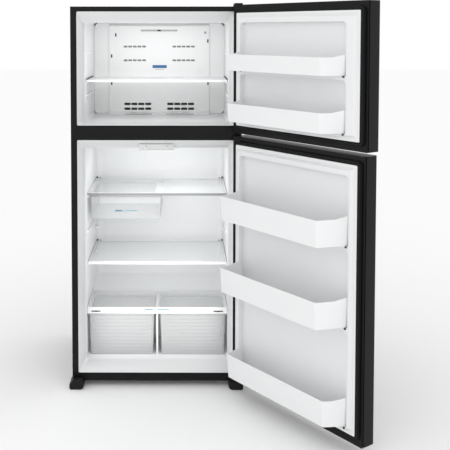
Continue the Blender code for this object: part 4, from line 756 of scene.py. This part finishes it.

# %% [markdown]
# Dark strips along the freezer shelf's sides are painted shade, standing in for the gap
# beside it. The glass shelves hook into dark clips at their back corners, the upper one
# has a grey strip along its front, and white lugs on the side walls wait for a shelf at
# other heights.
# %% Fittings of the shelves
low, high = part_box("freezer_shelf")
# Dark strips on the shelf's side edges: painted shade in place of the gap between shelf and
# wall.
for side, x in (("left", low.x + 0.0003), ("right", high.x - 0.0053)):
    block(f"freezer_shelf_rail_{side}", (x, low.y + 0.006, high.z + 0.0002),
          (x + 0.0050, high.y - 0.004, high.z + 0.0042), DARK_CLIP, 0.0008)
CLIP_PRONGS = ((0.001, 0.009, 0.008), (0.017, 0.022, 0.004))   # near, far, rise
for shelf in ("upper", "middle"):
    low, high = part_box(f"{shelf}_shelf_frame")
    for side, sign, edge in (("left", 1, low.x), ("right", -1, high.x)):
        for prong, (near, far, rise) in enumerate(CLIP_PRONGS):
            x = sorted((edge + sign * near, edge + sign * far))
            block(f"{shelf}_shelf_clip_{side}_{prong + 1}",
                  (x[0], high.y + 0.0003, high.z - 0.006),
                  (x[1], high.y + 0.0060, high.z + rise), DARK_CLIP, 0.0007)
low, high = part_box("upper_shelf_frame")
block("upper_shelf_strip", (low.x + 0.002, low.y - 0.0013, low.z + 0.0006),
      (high.x - 0.002, low.y - 0.0002, high.z - 0.0012), SHELF_BAND, 0.0004)
LUG_HEIGHTS = (0.670, 0.604, 0.485)
for number, z in enumerate(LUG_HEIGHTS):
    for side, sign in (("left", -1), ("right", 1)):
        x = sorted((sign * 0.3050, sign * 0.3208))
        block(f"shelf_lug_{side}_{number + 1}", at(x[0], 0.466, z - 0.0055),
              at(x[1], 0.500, z + 0.0055), TRIM_WHITE, 0.0030, 0.003)
print("lugs:", 2 * len(LUG_HEIGHTS))

# %% [markdown]
# Each door bin drops onto two dark hooks on the door's inner panel. They are easiest
# to place on a shut door, so each is made there and then turned open about the hinge.
# %% Bin hooks
FACE_OF_DYKE = FRONT + 0.006


def swing(door, thing):
    """Turn a piece's mesh about the hinge line from shut to open."""
    turn = Matrix.Rotation(OPEN[door], 4, "Z")
    thing.data.transform(Matrix.Translation(HINGE) @ turn @ Matrix.Translation(-HINGE))


for door, bins in (("freezer", ("lower", "upper")), ("fridge", ("lower", "middle", "upper"))):
    body = f"{door}_door"
    back = Matrix.Rotation(-OPEN[body], 4, "Z")
    for name in bins:
        solid = frame["nodes"][f"{door}_door_bin_{name}"]
        shut = [back @ (vertex.co - HINGE) + HINGE for vertex in solid.data.vertices]
        ends = min(point.x for point in shut), max(point.x for point in shut)
        floor_z = min(point.z for point in shut)
        for side, x in (("free", ends[0] + 0.0015), ("hinge", ends[1] - 0.0075)):
            hook = block(f"{door}_bin_hook_{name}_{side}",
                         (x, FACE_OF_DYKE + 0.0003, floor_z - 0.0070),
                         (x + 0.006, FACE_OF_DYKE + 0.0068, floor_z - 0.0004),
                         DARK_CLIP, 0.0008, body=body)
            swing(body, hook)

# %% [markdown]
# ## Stage
#
# A pale floor, a pale surround and large soft lamps in front: a white interior has no
# dark corner when most of its light comes in through the open door.
# %% Floor, surround and lamps
bpy.ops.object.select_all(action="DESELECT")
bpy.ops.mesh.primitive_plane_add(size=60, location=(0, 0, -0.0002))
floor = bpy.context.object
floor.name = "floor"
floor_finish = Finish("floor_pale", (0.97, 0.97, 0.97), 0.85, specular_ior_level=0.1)
floor.data.materials.append(floor_finish.material)

surround = bpy.data.worlds.new("surround")
surround.use_nodes = True
surround.node_tree.nodes["Background"].inputs["Color"].default_value = (1, 1, 1, 1)
surround.node_tree.nodes["Background"].inputs["Strength"].default_value = 1.0
bpy.context.scene.world = surround
bpy.context.scene.view_settings.view_transform = "Standard"


def soft_lamp(name, place, aim, width, height, power):
    """A rectangular lamp pointed at a place."""
    light = bpy.data.lights.new(name, "AREA")
    light.shape, light.size, light.size_y, light.energy = "RECTANGLE", width, height, power
    lamp = bpy.data.objects.new(name, light)
    bpy.context.scene.collection.objects.link(lamp)
    lamp.location = place
    lamp.rotation_euler = (aim - place).to_track_quat("-Z", "Y").to_euler()
    return lamp


soft_lamp("front_lamp", at(-0.9, -3.6, 2.6), at(0.0, 0.2, 0.8), 2.4, 2.0, 9)
soft_lamp("fill_lamp", at(1.6, -3.0, 1.2), at(0.1, 0.0, 0.8), 1.6, 2.0, 5)
print("room lamps: 2")

# %% [markdown]
# A cabinet half a metre deep still sees less of the room than its doors do. Each
# compartment gets two faint lamps, one the size of its opening that shines in and one
# under its ceiling, and neither is seen itself.
# %% Light for the two compartments
for name, node, power in (("freezer_glow", "freezer_liner", 0.66),
                          ("fridge_glow", "fridge_liner", 1.6)):
    low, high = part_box(node)
    middle = Vector((MIDDLE, FRONT + 0.045, (low.z + high.z) / 2))
    glow = soft_lamp(name, middle, middle + Vector((0, 1, 0)), high.x - low.x - 0.13,
                     high.z - low.z - 0.16, power)
    glow.visible_camera = glow.visible_glossy = False
    above = Vector((MIDDLE, FRONT + 0.22, high.z - 0.085))
    down = soft_lamp(f"{name}_above", above, above + Vector((0, 0.25, -0.50)),
                     0.50, 0.22, power * 0.35)
    down.visible_camera = down.visible_glossy = False
